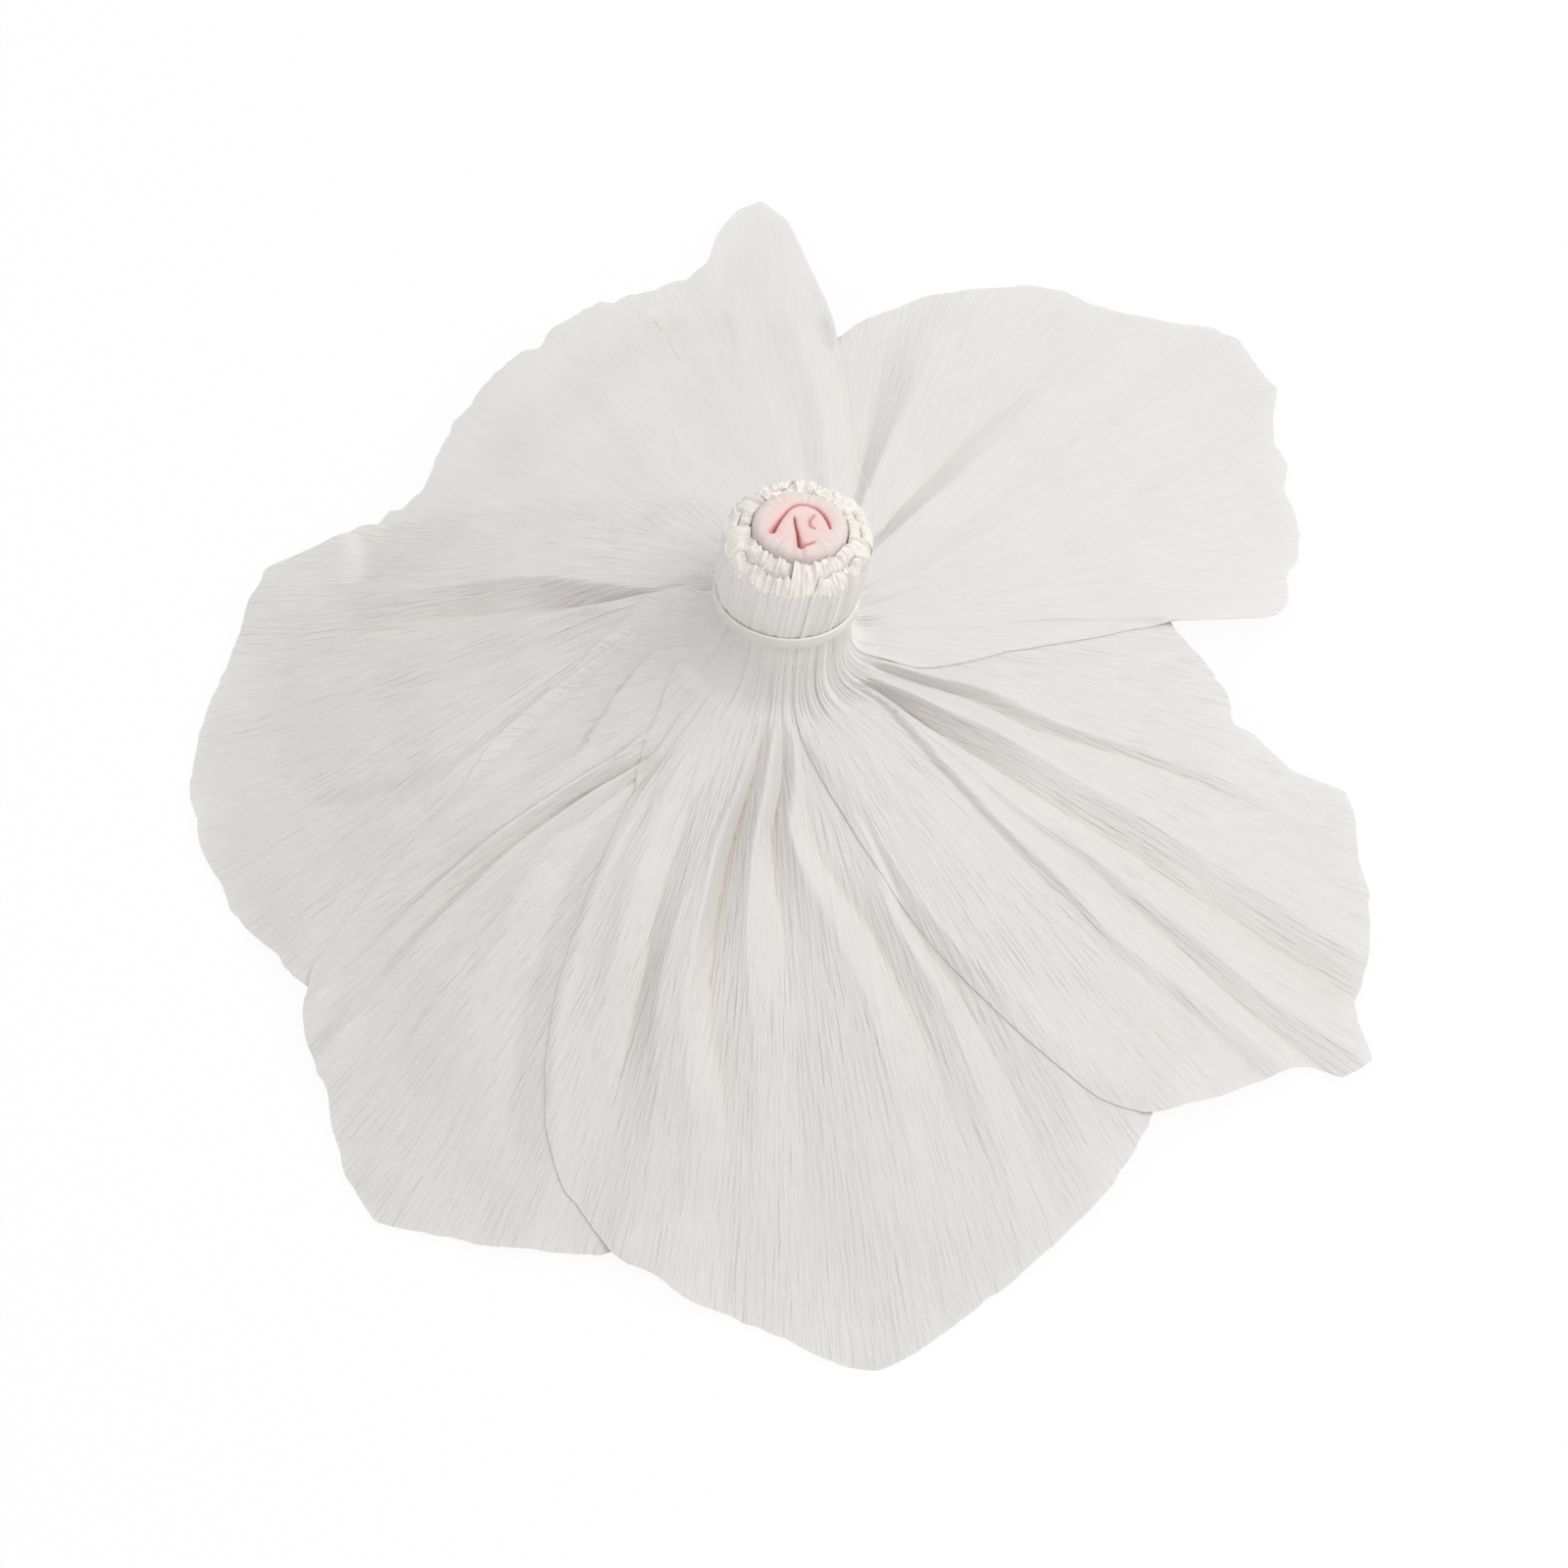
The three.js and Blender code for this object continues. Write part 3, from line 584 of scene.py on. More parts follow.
def petal_columns(name):
    """The petal's grain lines, close together, with all that its surface needs."""
    petal = PETALS[name]
    index = PETAL_ORDER.index(name)
    before = PETALS[PETAL_ORDER[index - 1]]
    after = PETALS[PETAL_ORDER[(index + 1) % len(PETAL_ORDER)]]
    seed = 100 * (index + 1)
    table = np.array(petal["lines"], float)
    first, last = table[0, 0], table[-1, 0]

    # Columns lie closer where the edge runs out along the grain, and among the knife folds
    fine = np.linspace(first, last, FINE_COLUMNS)
    fine_step = fine[1] - fine[0]
    fine_share = (fine - first) / (last - first)
    fine_root = root_azimuth(petal["root"], fine_share)
    fine_length = rim_length(petal, fine, fine_root, seed)
    reach = CREASE_RADIUS + fine_length
    step = np.hypot(np.radians(fine_step) * reach[1:], np.diff(reach))
    spread = np.concatenate([[0], np.cumsum(step)])
    spread = mix(spread / spread[-1], fine_share, EVEN_SHARE)
    folds = petal["folds"]
    folded = smooth(fine, folds[1][1][1], folds[2][2][1])
    folded = folded * (1 - smooth(fine, folds[-4][-1][1], folds[-3][-1][1]))
    spread = np.concatenate([[0], np.cumsum(np.diff(spread) * (1 + FOLD_FINENESS * folded[1:]))])
    spread = spread / spread[-1]
    azimuth = np.interp(np.linspace(0, 1, COLUMNS), spread, fine)
    share = (azimuth - first) / (last - first)
    root = root_azimuth(petal["root"], share)

    # Where the petal lies inside its neighbours in the neck, and where it has an edge there
    covered_from = near_to(after["root"][0], petal["root"][1])
    before_end = near_to(before["root"][2], petal["root"][1]) + EDGE_GAP
    near_cover = smooth(root, covered_from - CALM_WIDTH, covered_from)
    near_edge = 1 - smooth(root, root[0], root[0] + CALM_WIDTH)

    # Pleats of the gathered neck: broad ones from the grain lines, and tight ones between them
    line_share = (table[:, 0] - first) / (last - first)
    gathered = mix(FLAP_PLEAT_SHARE, 1, smooth(np.minimum(line_share, 1 - line_share), 0, FLAP_SHARE))
    side = np.where(np.arange(len(table)) % 2 == 0, 1, -1)
    depth = np.random.default_rng(seed + 2).uniform(*BROAD_DEPTHS, len(table))
    crisp = np.interp(fine, table[:, 0], side * gathered * depth)
    return {
        "seed": seed,
        "azimuth": azimuth,
        "root": root,
        "length": np.interp(azimuth, fine, fine_length),
        "folds": folds,
        "softness": petal.get("softness", FOLD_SOFTNESS),
        "crimp": petal.get("crimp", CRIMP),
        "inside": 1 - smooth(root, before_end, before_end + EDGE_GAP),
        "outside": smooth(root, covered_from + EDGE_GAP, covered_from + TUCK_WIDTH),
        "edge": 1 - smooth(root, root[0] + EDGE_GAP, root[0] + TUCK_WIDTH),
        "calm": np.maximum(near_cover, near_edge),
        "broad": np.interp(azimuth, fine, blurred(crisp, BROAD_BLUR / fine_step)),
        "tight": zigzag(root / TIGHT_PITCH + layered(root, [TIGHT_DRIFT], seed + 3)),
    }


def pleat_wave(columns, height):
    """Pleats at one height up the neck, from -1 inwards to 1 outwards, and cracks between them."""
    root, seed = columns["root"], columns["seed"]
    drift = layered(height + np.zeros(1), [UPWARD_DRIFT], seed + 6)[0]
    moved = np.interp(root + drift, root, columns["tight"])
    leaning = unevenness(root + STRENGTH_LEAN * height, STRENGTH_TURN, seed + 4)
    strong = STRENGTH_MEAN + STRENGTH_SWING * leaning
    uneven = unevenness(root, UNEVEN_TURN, seed + 5)
    chances = np.random.default_rng(seed + 14)
    cracks = np.zeros(len(root))
    for place in np.arange(root.min(), root.max(), CRACK_SPACING):
        offset = root - place - chances.uniform(0, CRACK_SCATTER)
        offset = offset - CRACK_LEAN * chances.uniform(-1, 1) * height
        strength = chances.uniform(*CRACK_STRENGTHS)
        width = chances.uniform(*CRACK_WIDTHS)
        cracks = np.maximum(cracks, strength * np.exp(-((offset / width) ** 2)))
    wave = columns["broad"] * BROAD_SHARE + uneven * UNEVEN_SHARE + moved * strong * TIGHT_SHARE
    return np.clip(wave, -1.0, 1.0) - CRACK_DEPTH / NECK_PLEAT * cracks


def neck_faces(columns, height, tuck=1.0):
    """Inner and outer radius of the gathered paper at heights up the neck."""
    level = float(np.mean(height))
    pinch = math.exp(-(((level - BAND_HEIGHT) / BAND_PINCH_HEIGHT) ** 2))
    around = np.interp(height, *NECK_OUTSIDE)
    inner = mix(NECK_INSIDE, NECK_BETWEEN[1], columns["inside"])
    inner = mix(inner, around + EDGE_INSIDE, columns["edge"])
    outer = around + EDGE_OUTSIDE * columns["edge"]
    pleat = NECK_PLEAT * (1 - BAND_PINCH * pinch) * (1 - columns["calm"])
    outer = outer + pleat * pleat_wave(columns, level)
    return inner, mix(outer, NECK_BETWEEN[0], tuck * columns["outside"])


def root_lift(columns, turn=1.0):
    """Lift over the dome round the bend of the neck. Hidden edges come up to their neighbours there."""
    low_height = BEND_RADIUS + neck_flare(columns["root"])
    outer = neck_faces(columns, low_height, mix(1.0, CREASE_TUCK, turn))[1]
    return outer - SHEET_THICKNESS / 2 - ROOT_RADIUS


def turned_azimuth(columns, out):
    """Azimuth of each grain line at a distance from the crease, as it turns from the neck to its own."""
    return mix(columns["azimuth"], columns["root"], np.exp(-out / GATHER_REACH))


def fold_lift(folds, azimuth, out):
    """Lift of the folded paper, flat between one ridge or valley and the next."""
    distance = out + np.zeros_like(azimuth)
    places, heights = [], []
    for line in folds:
        line = np.array(line, float)
        places.append(np.interp(distance, line[:, 0], line[:, 1]))
        heights.append(np.interp(distance, line[:, 0], line[:, 2]))
    lift = heights[0].copy()
    for first in range(len(folds) - 1):
        start = places[first]
        stop = np.maximum(places[first + 1], start + NARROWEST_FOLD)
        share = np.clip((azimuth - start) / (stop - start), 0, 1)
        lift = np.where(azimuth > start, mix(heights[first], heights[first + 1], share), lift)
    return lift


def drape_lift(columns, out):
    """Lift of the paper over the dome at a distance out from the crease."""
    folds, azimuth, soft = columns["folds"], columns["azimuth"], columns["softness"]
    folded = 0.5 * fold_lift(folds, azimuth, out)
    folded = folded + 0.25 * (fold_lift(folds, azimuth - soft, out) + fold_lift(folds, azimuth + soft, out))
    return mix(root_lift(columns), folded, smooth(out, 0, FOLD_START))


def drape_map(columns):
    """The petal's lift and how far it still goes on, over azimuth and distance from the crease."""
    centre = 0.5 * (columns["azimuth"][0] + columns["azimuth"][-1])
    azimuths = near_to(np.arange(0, 360, MAP_TURN), centre)
    order = np.argsort(azimuths)
    lifts = np.zeros((len(azimuths), MAP_REACH))
    beyond = np.full((len(azimuths), MAP_REACH), OFF_THE_MAP)
    for out in range(MAP_REACH):
        turned = turned_azimuth(columns, float(out))
        lifts[order, out] = np.interp(azimuths[order], turned, drape_lift(columns, float(out)))
        length = np.interp(azimuths[order], turned, columns["length"], left=OFF_THE_MAP, right=OFF_THE_MAP)
        beyond[order, out] = length - out
    return lifts, beyond


def map_value(values, azimuth, out):
    """A value of a drape map between its points."""
    across = (azimuth % 360) / MAP_TURN
    low = np.floor(across).astype(int)
    share = across - low
    low, high = low % values.shape[0], (low + 1) % values.shape[0]
    out = np.clip(out, 0, MAP_REACH - 1.001)
    near = np.floor(out).astype(int)
    far = out - near
    nearer = mix(values[low, near], values[high, near], share)
    farther = mix(values[low, near + 1], values[high, near + 1], share)
    return mix(nearer, farther, far)


def neck_flare(azimuth):
    """How high the paper still stands where it leaves the neck. At the front it turns down sharply."""
    return np.interp(azimuth % 360, *NECK_FLARE)


def neck_shift(height):
    """The cut end stands a little to the right and the rear of the neck's own axis."""
    return smooth(height, BAND_HEIGHT, NECK_HEIGHT)[..., None] * END_SHIFT


def neck_points(radius, root, height):
    points = polar(radius, np.radians(root), DOME_HEIGHT + height) + neck_shift(height)
    return leaned(points, np.ones(len(points)))


def neck_surface(columns):
    """Outer and inner face of the gathered paper, from the crushed cut end down to the bend."""
    root, seed = columns["root"], columns["seed"]
    low_height = BEND_RADIUS + neck_flare(root)
    step = END_STEP * (1 - columns["outside"]) * smooth(columns["inside"] + 0.5, 0, 1)
    cut_height = NECK_HEIGHT + END_RISE - step + layered(root, FRAYING, seed + 7)
    slope = np.interp(root % 360, *CUT_SLOPE)
    inner, outer = neck_faces(columns, cut_height)
    upper, along = [], []
    for row in range(CROWN_ROWS):
        share = row / (CROWN_ROWS - 1)
        radius = mix(inner, outer - CROWN_INSET, share)
        across, out = np.radians(root) * CRUMPLE_RADIUS, radius + CRUMPLE_APART * seed
        crushed = 0
        for i, (high, cell) in enumerate(CRUMPLES):
            crushed = crushed + high * crumpled(across, out, cell, seed + 11 + i)
        outward = np.clip((radius - ROLL_RADIUS) / (CROWN_RADIUS - ROLL_RADIUS), 0, 1)
        sloped = slope * outward**CUT_SLOPE_BOW
        rounded = CROWN_ROUNDING * abs(2 * share - 1) ** CROWN_SQUARENESS
        upper.append(neck_points(radius, root, cut_height - CRUMPLE_DROP + crushed - rounded - sloped))
        along.append(np.full(len(root), CROWN_ALONG * share - CROWN_ALONG))
    top = cut_height - OUTER_DROP - sloped
    for row in range(NECK_ROWS):
        drop = np.interp(row, *NECK_SPACING)
        height = np.where(drop < 1, mix(top, BAND_HEIGHT, drop), mix(BAND_HEIGHT, low_height, drop - 1))
        outer = neck_faces(columns, height)[1]
        upper.append(neck_points(outer, root, height))
        along.append(np.full(len(root), NECK_ALONG * row / NECK_ROWS))
    lower = []
    rows = CROWN_ROWS + NECK_ROWS
    for row in range(rows):
        height = mix(cut_height - INNER_DROP - sloped, low_height, row / (rows - 1))
        inner, outer = neck_faces(columns, height)
        thin = smooth(height, low_height, low_height + THIN_RUN)
        lower.append(neck_points(mix(outer - SHEET_THICKNESS, inner, thin), root, height))
    return np.stack(upper, axis=1), np.stack(lower, axis=1), along


def petal_surface(columns, under):
    """Middle of the paper from the bend to the rim, with its way along the grain and the painted shade in
    the valleys of its folds.
    """
    root, length, seed = columns["root"], columns["length"], columns["seed"]
    rows, along = [], []
    flare = neck_flare(root)
    crease = polar(np.full(COLUMNS, CREASE_RADIUS), np.radians(root), 0)
    crease_height = dome_height(crease[:, 0], crease[:, 1]) + flare
    tightness = BEND_TIGHTNESS + BEND_OPENING * flare
    for row in range(1, BEND_ROWS):
        turn = row / (BEND_ROWS - 1)
        across = BEND_RADIUS - root_lift(columns, turn)
        inward = math.cos(turn * math.pi / 2) ** tightness if row < BEND_ROWS - 1 else 0.0
        downward = math.sin(turn * math.pi / 2) ** tightness
        radius = CREASE_RADIUS - across * inward
        height = crease_height + BEND_RADIUS - across * downward
        upright = np.full(COLUMNS, 1 - smooth(turn, 0, 1))
        rows.append(leaned(polar(radius, np.radians(root), height), upright))
        along.append(np.full(COLUMNS, mix(NECK_ALONG, CREASE_ALONG, turn)))
    crease_shade = [np.zeros(COLUMNS)] * (CROWN_ROWS + NECK_ROWS + BEND_ROWS - 1)
    flutter = FLUTTER * unevenness(columns["azimuth"], FLUTTER_TURN, seed + 9) + FLUTTER
    flutter = flutter * (1 - columns["outside"])
    lifts, beyond = under
    for row in range(1, BLADE_ROWS + 1):
        out_share = (row / BLADE_ROWS) ** BLADE_SPACING
        out = out_share * length
        turned = turned_azimuth(columns, out)
        lift = drape_lift(columns, out)
        lift = lift + flutter * smooth(out_share, FLUTTER_START, 1) * smooth(length, *LONG_GRAIN)
        # The edge of a flap lies down on the petal under it
        lower = map_value(lifts, turned, out) + LAYER_GAP
        covered = smooth(map_value(beyond, turned, out), *COVERED)
        lift = lift + covered * np.maximum(lower - lift, 0)
        bend = np.minimum(FLAP_BEND, FLAP_BEND_SHARE * length)
        lying = smooth(out, length - bend, length - FLAP_LYING_SHARE * bend) * covered
        lift = mix(lift, lower, lying)
        # Painted shade: the deeper the paper lies below its neighbours, the more warm shade is painted on
        # it
        deep = np.clip((blurred(lift, CREASE_SHADE_COLUMNS) - lift) / CREASE_SHADE_DEPTH, 0, 1)
        crease_shade.append(blurred(deep, 0.5 * CREASE_SHADE_COLUMNS))
        lift = lift + neck_flare(turned) * np.exp(-out / FLARE_REACH)
        points = polar(CREASE_RADIUS + out, np.radians(turned), lift)
        points[:, 2] += dome_height(points[:, 0], points[:, 1]) + shared_creases(points[:, 0], points[:, 1])
        rows.append(points)
        along.append(CREASE_ALONG + out)
    return np.stack(rows, axis=1), along, np.stack(crease_shade, axis=1)


def carry(mesh, name, values):
    """Give the mesh a value at each of its points, for its material."""
    attribute = mesh.attributes.new(name, "FLOAT", "POINT")
    attribute.data.foreach_set("value", np.asarray(values, np.float32).reshape(-1))


def placed(name, mesh):
    """An object of the mesh, with smooth faces."""
    mesh.polygons.foreach_set("use_smooth", np.ones(len(mesh.polygons), bool))
    mesh.update()
    piece = bpy.data.objects.new(name, mesh)
    bpy.context.collection.objects.link(piece)
    return piece


def quads(*corners):
    """Faces from the four corners of each."""
    return np.stack(corners, axis=-1).reshape(-1, 4)


def closed_sheet(name, columns, under):
    """One petal as a closed sheet of paper, gathered thick in the neck."""
    upper_neck, lower_neck, along_gather = neck_surface(columns)
    grid, along_blade, crease_shade = petal_surface(columns, under)
    normal = np.cross(np.gradient(grid, axis=1), np.gradient(grid, axis=0))
    normal *= SHEET_THICKNESS / 2 / np.maximum(np.linalg.norm(normal, axis=-1, keepdims=True), 1e-9)
    normal[:, -2:] *= np.array([RIM_THINNESS * 2, RIM_THINNESS])[None, :, None]
    upper = np.concatenate([upper_neck, grid + normal], axis=1)
    lower = np.concatenate([lower_neck, grid - normal], axis=1)
    along = np.stack(along_gather + along_blade, axis=1)
    across = np.broadcast_to(np.radians(columns["azimuth"])[:, None] * GRAIN_RADIUS, along.shape)
    grain = np.stack([across, along], axis=-1).reshape(-1, 2) / GRAIN_UNIT
    count, rows = upper.shape[:2]
    vertices = (np.concatenate([upper.reshape(-1, 3), lower.reshape(-1, 3)]) + FRAME_SHIFT) * MM
    vertices[:, 2] = np.maximum(vertices[:, 2], 0.0)
    at = np.arange(count * rows).reshape(count, rows)
    below = at + count * rows
    faces = np.concatenate([
        quads(at[:-1, :-1], at[:-1, 1:], at[1:, 1:], at[1:, :-1]),
        quads(below[:-1, :-1], below[1:, :-1], below[1:, 1:], below[:-1, 1:]),
        quads(at[:-1, 0], at[1:, 0], below[1:, 0], below[:-1, 0]),
        quads(at[1:, -1], at[:-1, -1], below[:-1, -1], below[1:, -1]),
        quads(at[0, 1:], at[0, :-1], below[0, :-1], below[0, 1:]),
        quads(at[-1, :-1], at[-1, 1:], below[-1, 1:], below[-1, :-1]),
    ])
    mesh = bpy.data.meshes.new(name)
    mesh.from_pydata(vertices.tolist(), [], faces.tolist())
    layer = mesh.uv_layers.new(name="Grain")
    flat = np.concatenate([grain, grain])
    layer.data.foreach_set("uv", flat[faces.reshape(-1)].astype(np.float32).reshape(-1))
    carry(mesh, "Single", [smooth(along, *SINGLE_LAYER)] * 2)
    # Painted shade of the fold valleys, for the material
    carry(mesh, "CreaseShade", [crease_shade] * 2)
    carry(mesh, "Crimp", np.full(len(vertices), columns["crimp"]))
    sheet = placed(name, mesh)
    bpy.ops.object.select_all(action="DESELECT")
    sheet.select_set(True)
    bpy.context.view_layer.objects.active = sheet
    bpy.ops.object.shade_smooth_by_angle(angle=SHARP_EDGE)
    return sheet


# Materials: strengths of the crepe's relief and tones, and the sockets of nodes that have several of a name
CRIMP = 1.1
NARROWEST_GRAIN = 14.0
WIDEST_OCTAVE = -2.0
RIDGE_HEIGHT = 1.5
LINE_DEPTH = 0.3
LINE_SHARPNESS = 4.0
BROAD_HEIGHT = 1.1
FINE_HEIGHT = 0.5
RIDGE_TONE = 0.55
BROAD_TONE = 0.35
# Partly painted shade: how far the crushed cut end is darkened, for the cut edges' own tone and the shade
# in the gaps among its layers
CROWN_EDGE_AND_SHADE_TONE = 0.8
# Painted shade: how strongly paper deep among its folds is tinted with the warm colour of shade
CREASE_SHADE_TONE = 0.6
FADED_TONE = 0.85
PAPER_ROUGHNESS = 0.82
ROUGHNESS_SWING = 0.12
BAND_ROUGHNESS = 0.5
BAND_ROUGHNESS_SWING = 0.15
LIGHT_THROUGH = 0.3
WHITE = (1.0, 1.0, 1.0, 1.0)
MIX_FIRST, MIX_SECOND, MIX_RESULT = 6, 7, 2
ATTRIBUTE_VALUE = 2


def linear(code):
    """A colour written as on a paint card, as the light that it gives back."""
    parts = [int(code[i : i + 2], 16) / 255 for i in (1, 3, 5)]
    return tuple(c / 12.92 if c <= 0.04045 else ((c + 0.055) / 1.055) ** 2.4 for c in parts) + (1.0,)


class Wire:
    """The output of a node. Sums with it add Math nodes."""

    def __init__(self, recipe, socket):
        self.recipe = recipe
        self.socket = socket

    def reckon(self, operation, *values):
        return self.recipe.add("ShaderNodeMath", {"operation": operation}, dict(enumerate(values)))

    def __add__(self, other):
        return self.reckon("ADD", self, other)

    def __radd__(self, other):
        return self.reckon("ADD", other, self)

    def __sub__(self, other):
        return self.reckon("SUBTRACT", self, other)

    def __rsub__(self, other):
        return self.reckon("SUBTRACT", other, self)

    def __mul__(self, other):
        return self.reckon("MULTIPLY", self, other)

    def __rmul__(self, other):
        return self.reckon("MULTIPLY", other, self)

    def __truediv__(self, other):
        return self.reckon("DIVIDE", self, other)

    def __rtruediv__(self, other):
        return self.reckon("DIVIDE", other, self)

    def __abs__(self):
        return self.reckon("ABSOLUTE", self)

    def at_least(self, other):
        return self.reckon("MAXIMUM", self, other)

    def at_most(self, other):
        return self.reckon("MINIMUM", self, other)

    def __rpow__(self, other):
        return self.reckon("POWER", other, self)

    def doublings(self):
        return self.reckon("LOGARITHM", self, 2.0)

    def whole(self):
        return self.reckon("FLOOR", self)


class Recipe:
    """The node tree of one material or of the world."""

    def __init__(self, owner):
        owner.use_nodes = True
        self.tree = owner.node_tree
        self.tree.nodes.clear()

    def add(self, kind, settings=None, inputs=None, output=0):
        node = self.tree.nodes.new(kind)
        for key, value in (settings or {}).items():
            setattr(node, key, value)
        for key, value in (inputs or {}).items():
            if isinstance(value, Wire):
                self.tree.links.new(value.socket, node.inputs[key])
            else:
                node.inputs[key].default_value = value
        return Wire(self, node.outputs[output]) if node.outputs else node


def blend(recipe, share, first, second):
    """Two colours mixed, of which either can come from another node."""
    inputs = {"Factor": share, MIX_FIRST: first, MIX_SECOND: second}
    return recipe.add("ShaderNodeMix", {"data_type": "RGBA"}, inputs, output=MIX_RESULT)


def carried(recipe, name):
    """The value that a mesh carries at its points."""
    return recipe.add("ShaderNodeAttribute", {"attribute_name": name}, output=ATTRIBUTE_VALUE)


def noise(recipe, vector, scale, detail=2.0):
    return recipe.add("ShaderNodeTexNoise", inputs={"Vector": vector, "Scale": scale, "Detail": detail})


def grain_noise(recipe, place, across, along, seed, detail=2.0):
    """Random values that are stretched along the grain."""
    u, v = place
    vector = recipe.add("ShaderNodeCombineXYZ", inputs={"X": u * across, "Y": v * along, "Z": seed})
    return noise(recipe, vector, scale=1.0, detail=detail)


def seen_rays(recipe):
    """1 for what is seen straight, in a gloss or through something clear, and 0 for light on its way."""
    camera, glossy, clear, diffuse = (
        recipe.add("ShaderNodeLightPath", output=f"Is {kind} Ray")
        for kind in ("Camera", "Glossy", "Transmission", "Diffuse")
    )
    return camera.at_least(glossy).at_least(clear - diffuse)


def crepe_ridges(recipe, place):
    """Height of the crepe's ridges, which keep their pitch as the petal widens."""
    radius = (place[1] * GRAIN_UNIT - (CREASE_ALONG - CREASE_RADIUS)).at_least(NARROWEST_GRAIN)
    level = (radius / GRAIN_RADIUS).doublings()
    fade = 1.0 - (WIDEST_OCTAVE - level).at_least(0.0)
    level = level.at_least(WIDEST_OCTAVE)
    total = None
    for step in (0.0, 1.0):
        octave = level.whole() + step
        pitch = 2.0**octave
        weight = 1.0 - abs(level - octave)
        ridges = grain_noise(recipe, place, across=pitch * 135.0, along=6.5, seed=octave * 3.7 + 11)
        lines = grain_noise(
            recipe, place, across=pitch * 75.0, along=8.0, seed=octave * 5.1 + 47, detail=1.0
        )
        lines = (1.0 - abs(lines * 2.0 - 1.0) * LINE_SHARPNESS).at_least(0.0)
        height = (ridges * RIDGE_HEIGHT - lines * LINE_DEPTH) * weight * fade
        total = height if total is None else total + height
    return total


def white_crepe():
    material = bpy.data.materials.new("white_crepe")
    recipe = Recipe(material)
    grain = recipe.add("ShaderNodeUVMap", {"uv_map": "Grain"})
    u, v = (recipe.add("ShaderNodeSeparateXYZ", inputs={"Vector": grain}, output=axis) for axis in "XY")
    ridges = crepe_ridges(recipe, (u, v))
    broad = grain_noise(recipe, (u, v), across=16.0, along=3.0, seed=71.0)
    height = (ridges + broad * BROAD_HEIGHT) * carried(recipe, "Crimp")
    bump = recipe.add("ShaderNodeBump", inputs={"Strength": 1.0, "Distance": 0.0003, "Height": height})
    single = carried(recipe, "Single")
    # The crushed cut end is darker and warmer: partly the cut edges' own tone, partly painted shade in the
    # gaps among the crushed layers
    crown_edges_and_shade = CROWN_EDGE_AND_SHADE_TONE - v * GRAIN_UNIT
    # Painted shade: paper lying deep among its folds is tinted with the warm colour of shade
    crease_shade = carried(recipe, "CreaseShade") * CREASE_SHADE_TONE
    tone = (ridges * RIDGE_TONE + broad * BROAD_TONE).at_most(1.0)
    colour = blend(recipe, tone, linear("#e9e8e7"), linear("#f4f3f2"))
    colour = blend(recipe, single, linear("#f4f1ee"), colour)
    colour = blend(recipe, crown_edges_and_shade, colour, linear("#e9e4de"))
    colour = blend(recipe, crease_shade, colour, linear("#eee4d8"))
    roughness = PAPER_ROUGHNESS + broad * ROUGHNESS_SWING
    paper = recipe.add(
        "ShaderNodeBsdfPrincipled",
        inputs={"Base Color": colour, "Roughness": roughness, "Normal": bump, "Specular IOR Level": 0.25},
    )
    through = recipe.add("ShaderNodeBsdfTranslucent", inputs={"Color": linear("#f2eee8"), "Normal": bump})
    both = recipe.add("ShaderNodeMixShader", inputs={0: single * LIGHT_THROUGH, 1: paper, 2: through})
    recipe.add("ShaderNodeOutputMaterial", inputs={"Surface": both})
    return material


def pink_crepe():
    material = bpy.data.materials.new("pink_crepe")
    recipe = Recipe(material)
    coords = recipe.add("ShaderNodeTexCoord", output="Object")
    fine = noise(recipe, coords, scale=900.0, detail=3.0)
    soft = noise(recipe, coords, scale=260.0)
    height = fine * FINE_HEIGHT + soft
    bump = recipe.add("ShaderNodeBump", inputs={"Strength": 0.8, "Distance": 0.00025, "Height": height})
    colour = blend(recipe, soft, linear("#dfc3be"), linear("#e8d0cd"))
    colour = blend(recipe, carried(recipe, "Faded") * FADED_TONE, colour, linear("#dbd0cc"))
    # Painted shade: the pink deepens to a dark red-pink beside the slits, where shade falls
    colour = blend(recipe, carried(recipe, "SlitShade"), colour, linear("#de938e"))
    paper = recipe.add(
        "ShaderNodeBsdfPrincipled",
        inputs={"Base Color": colour, "Roughness": 0.86, "Normal": bump, "Specular IOR Level": 0.25},
    )
    recipe.add("ShaderNodeOutputMaterial", inputs={"Surface": paper})
    return material


def white_band():
    material = bpy.data.materials.new("white_band")
    recipe = Recipe(material)
    soft = noise(recipe, recipe.add("ShaderNodeTexCoord", output="Object"), scale=180.0)
    bump = recipe.add("ShaderNodeBump", inputs={"Strength": 0.4, "Distance": 0.0001, "Height": soft})
    colour = blend(recipe, soft, linear("#e2e0dc"), linear("#eeece9"))
    roughness = BAND_ROUGHNESS + soft * BAND_ROUGHNESS_SWING
    rubber = recipe.add(
        "ShaderNodeBsdfPrincipled", inputs={"Base Color": colour, "Roughness": roughness, "Normal": bump}
    )
    recipe.add("ShaderNodeOutputMaterial", inputs={"Surface": rubber})
    return material


PAPER = white_crepe()
PINK = pink_crepe()
BAND = white_band()

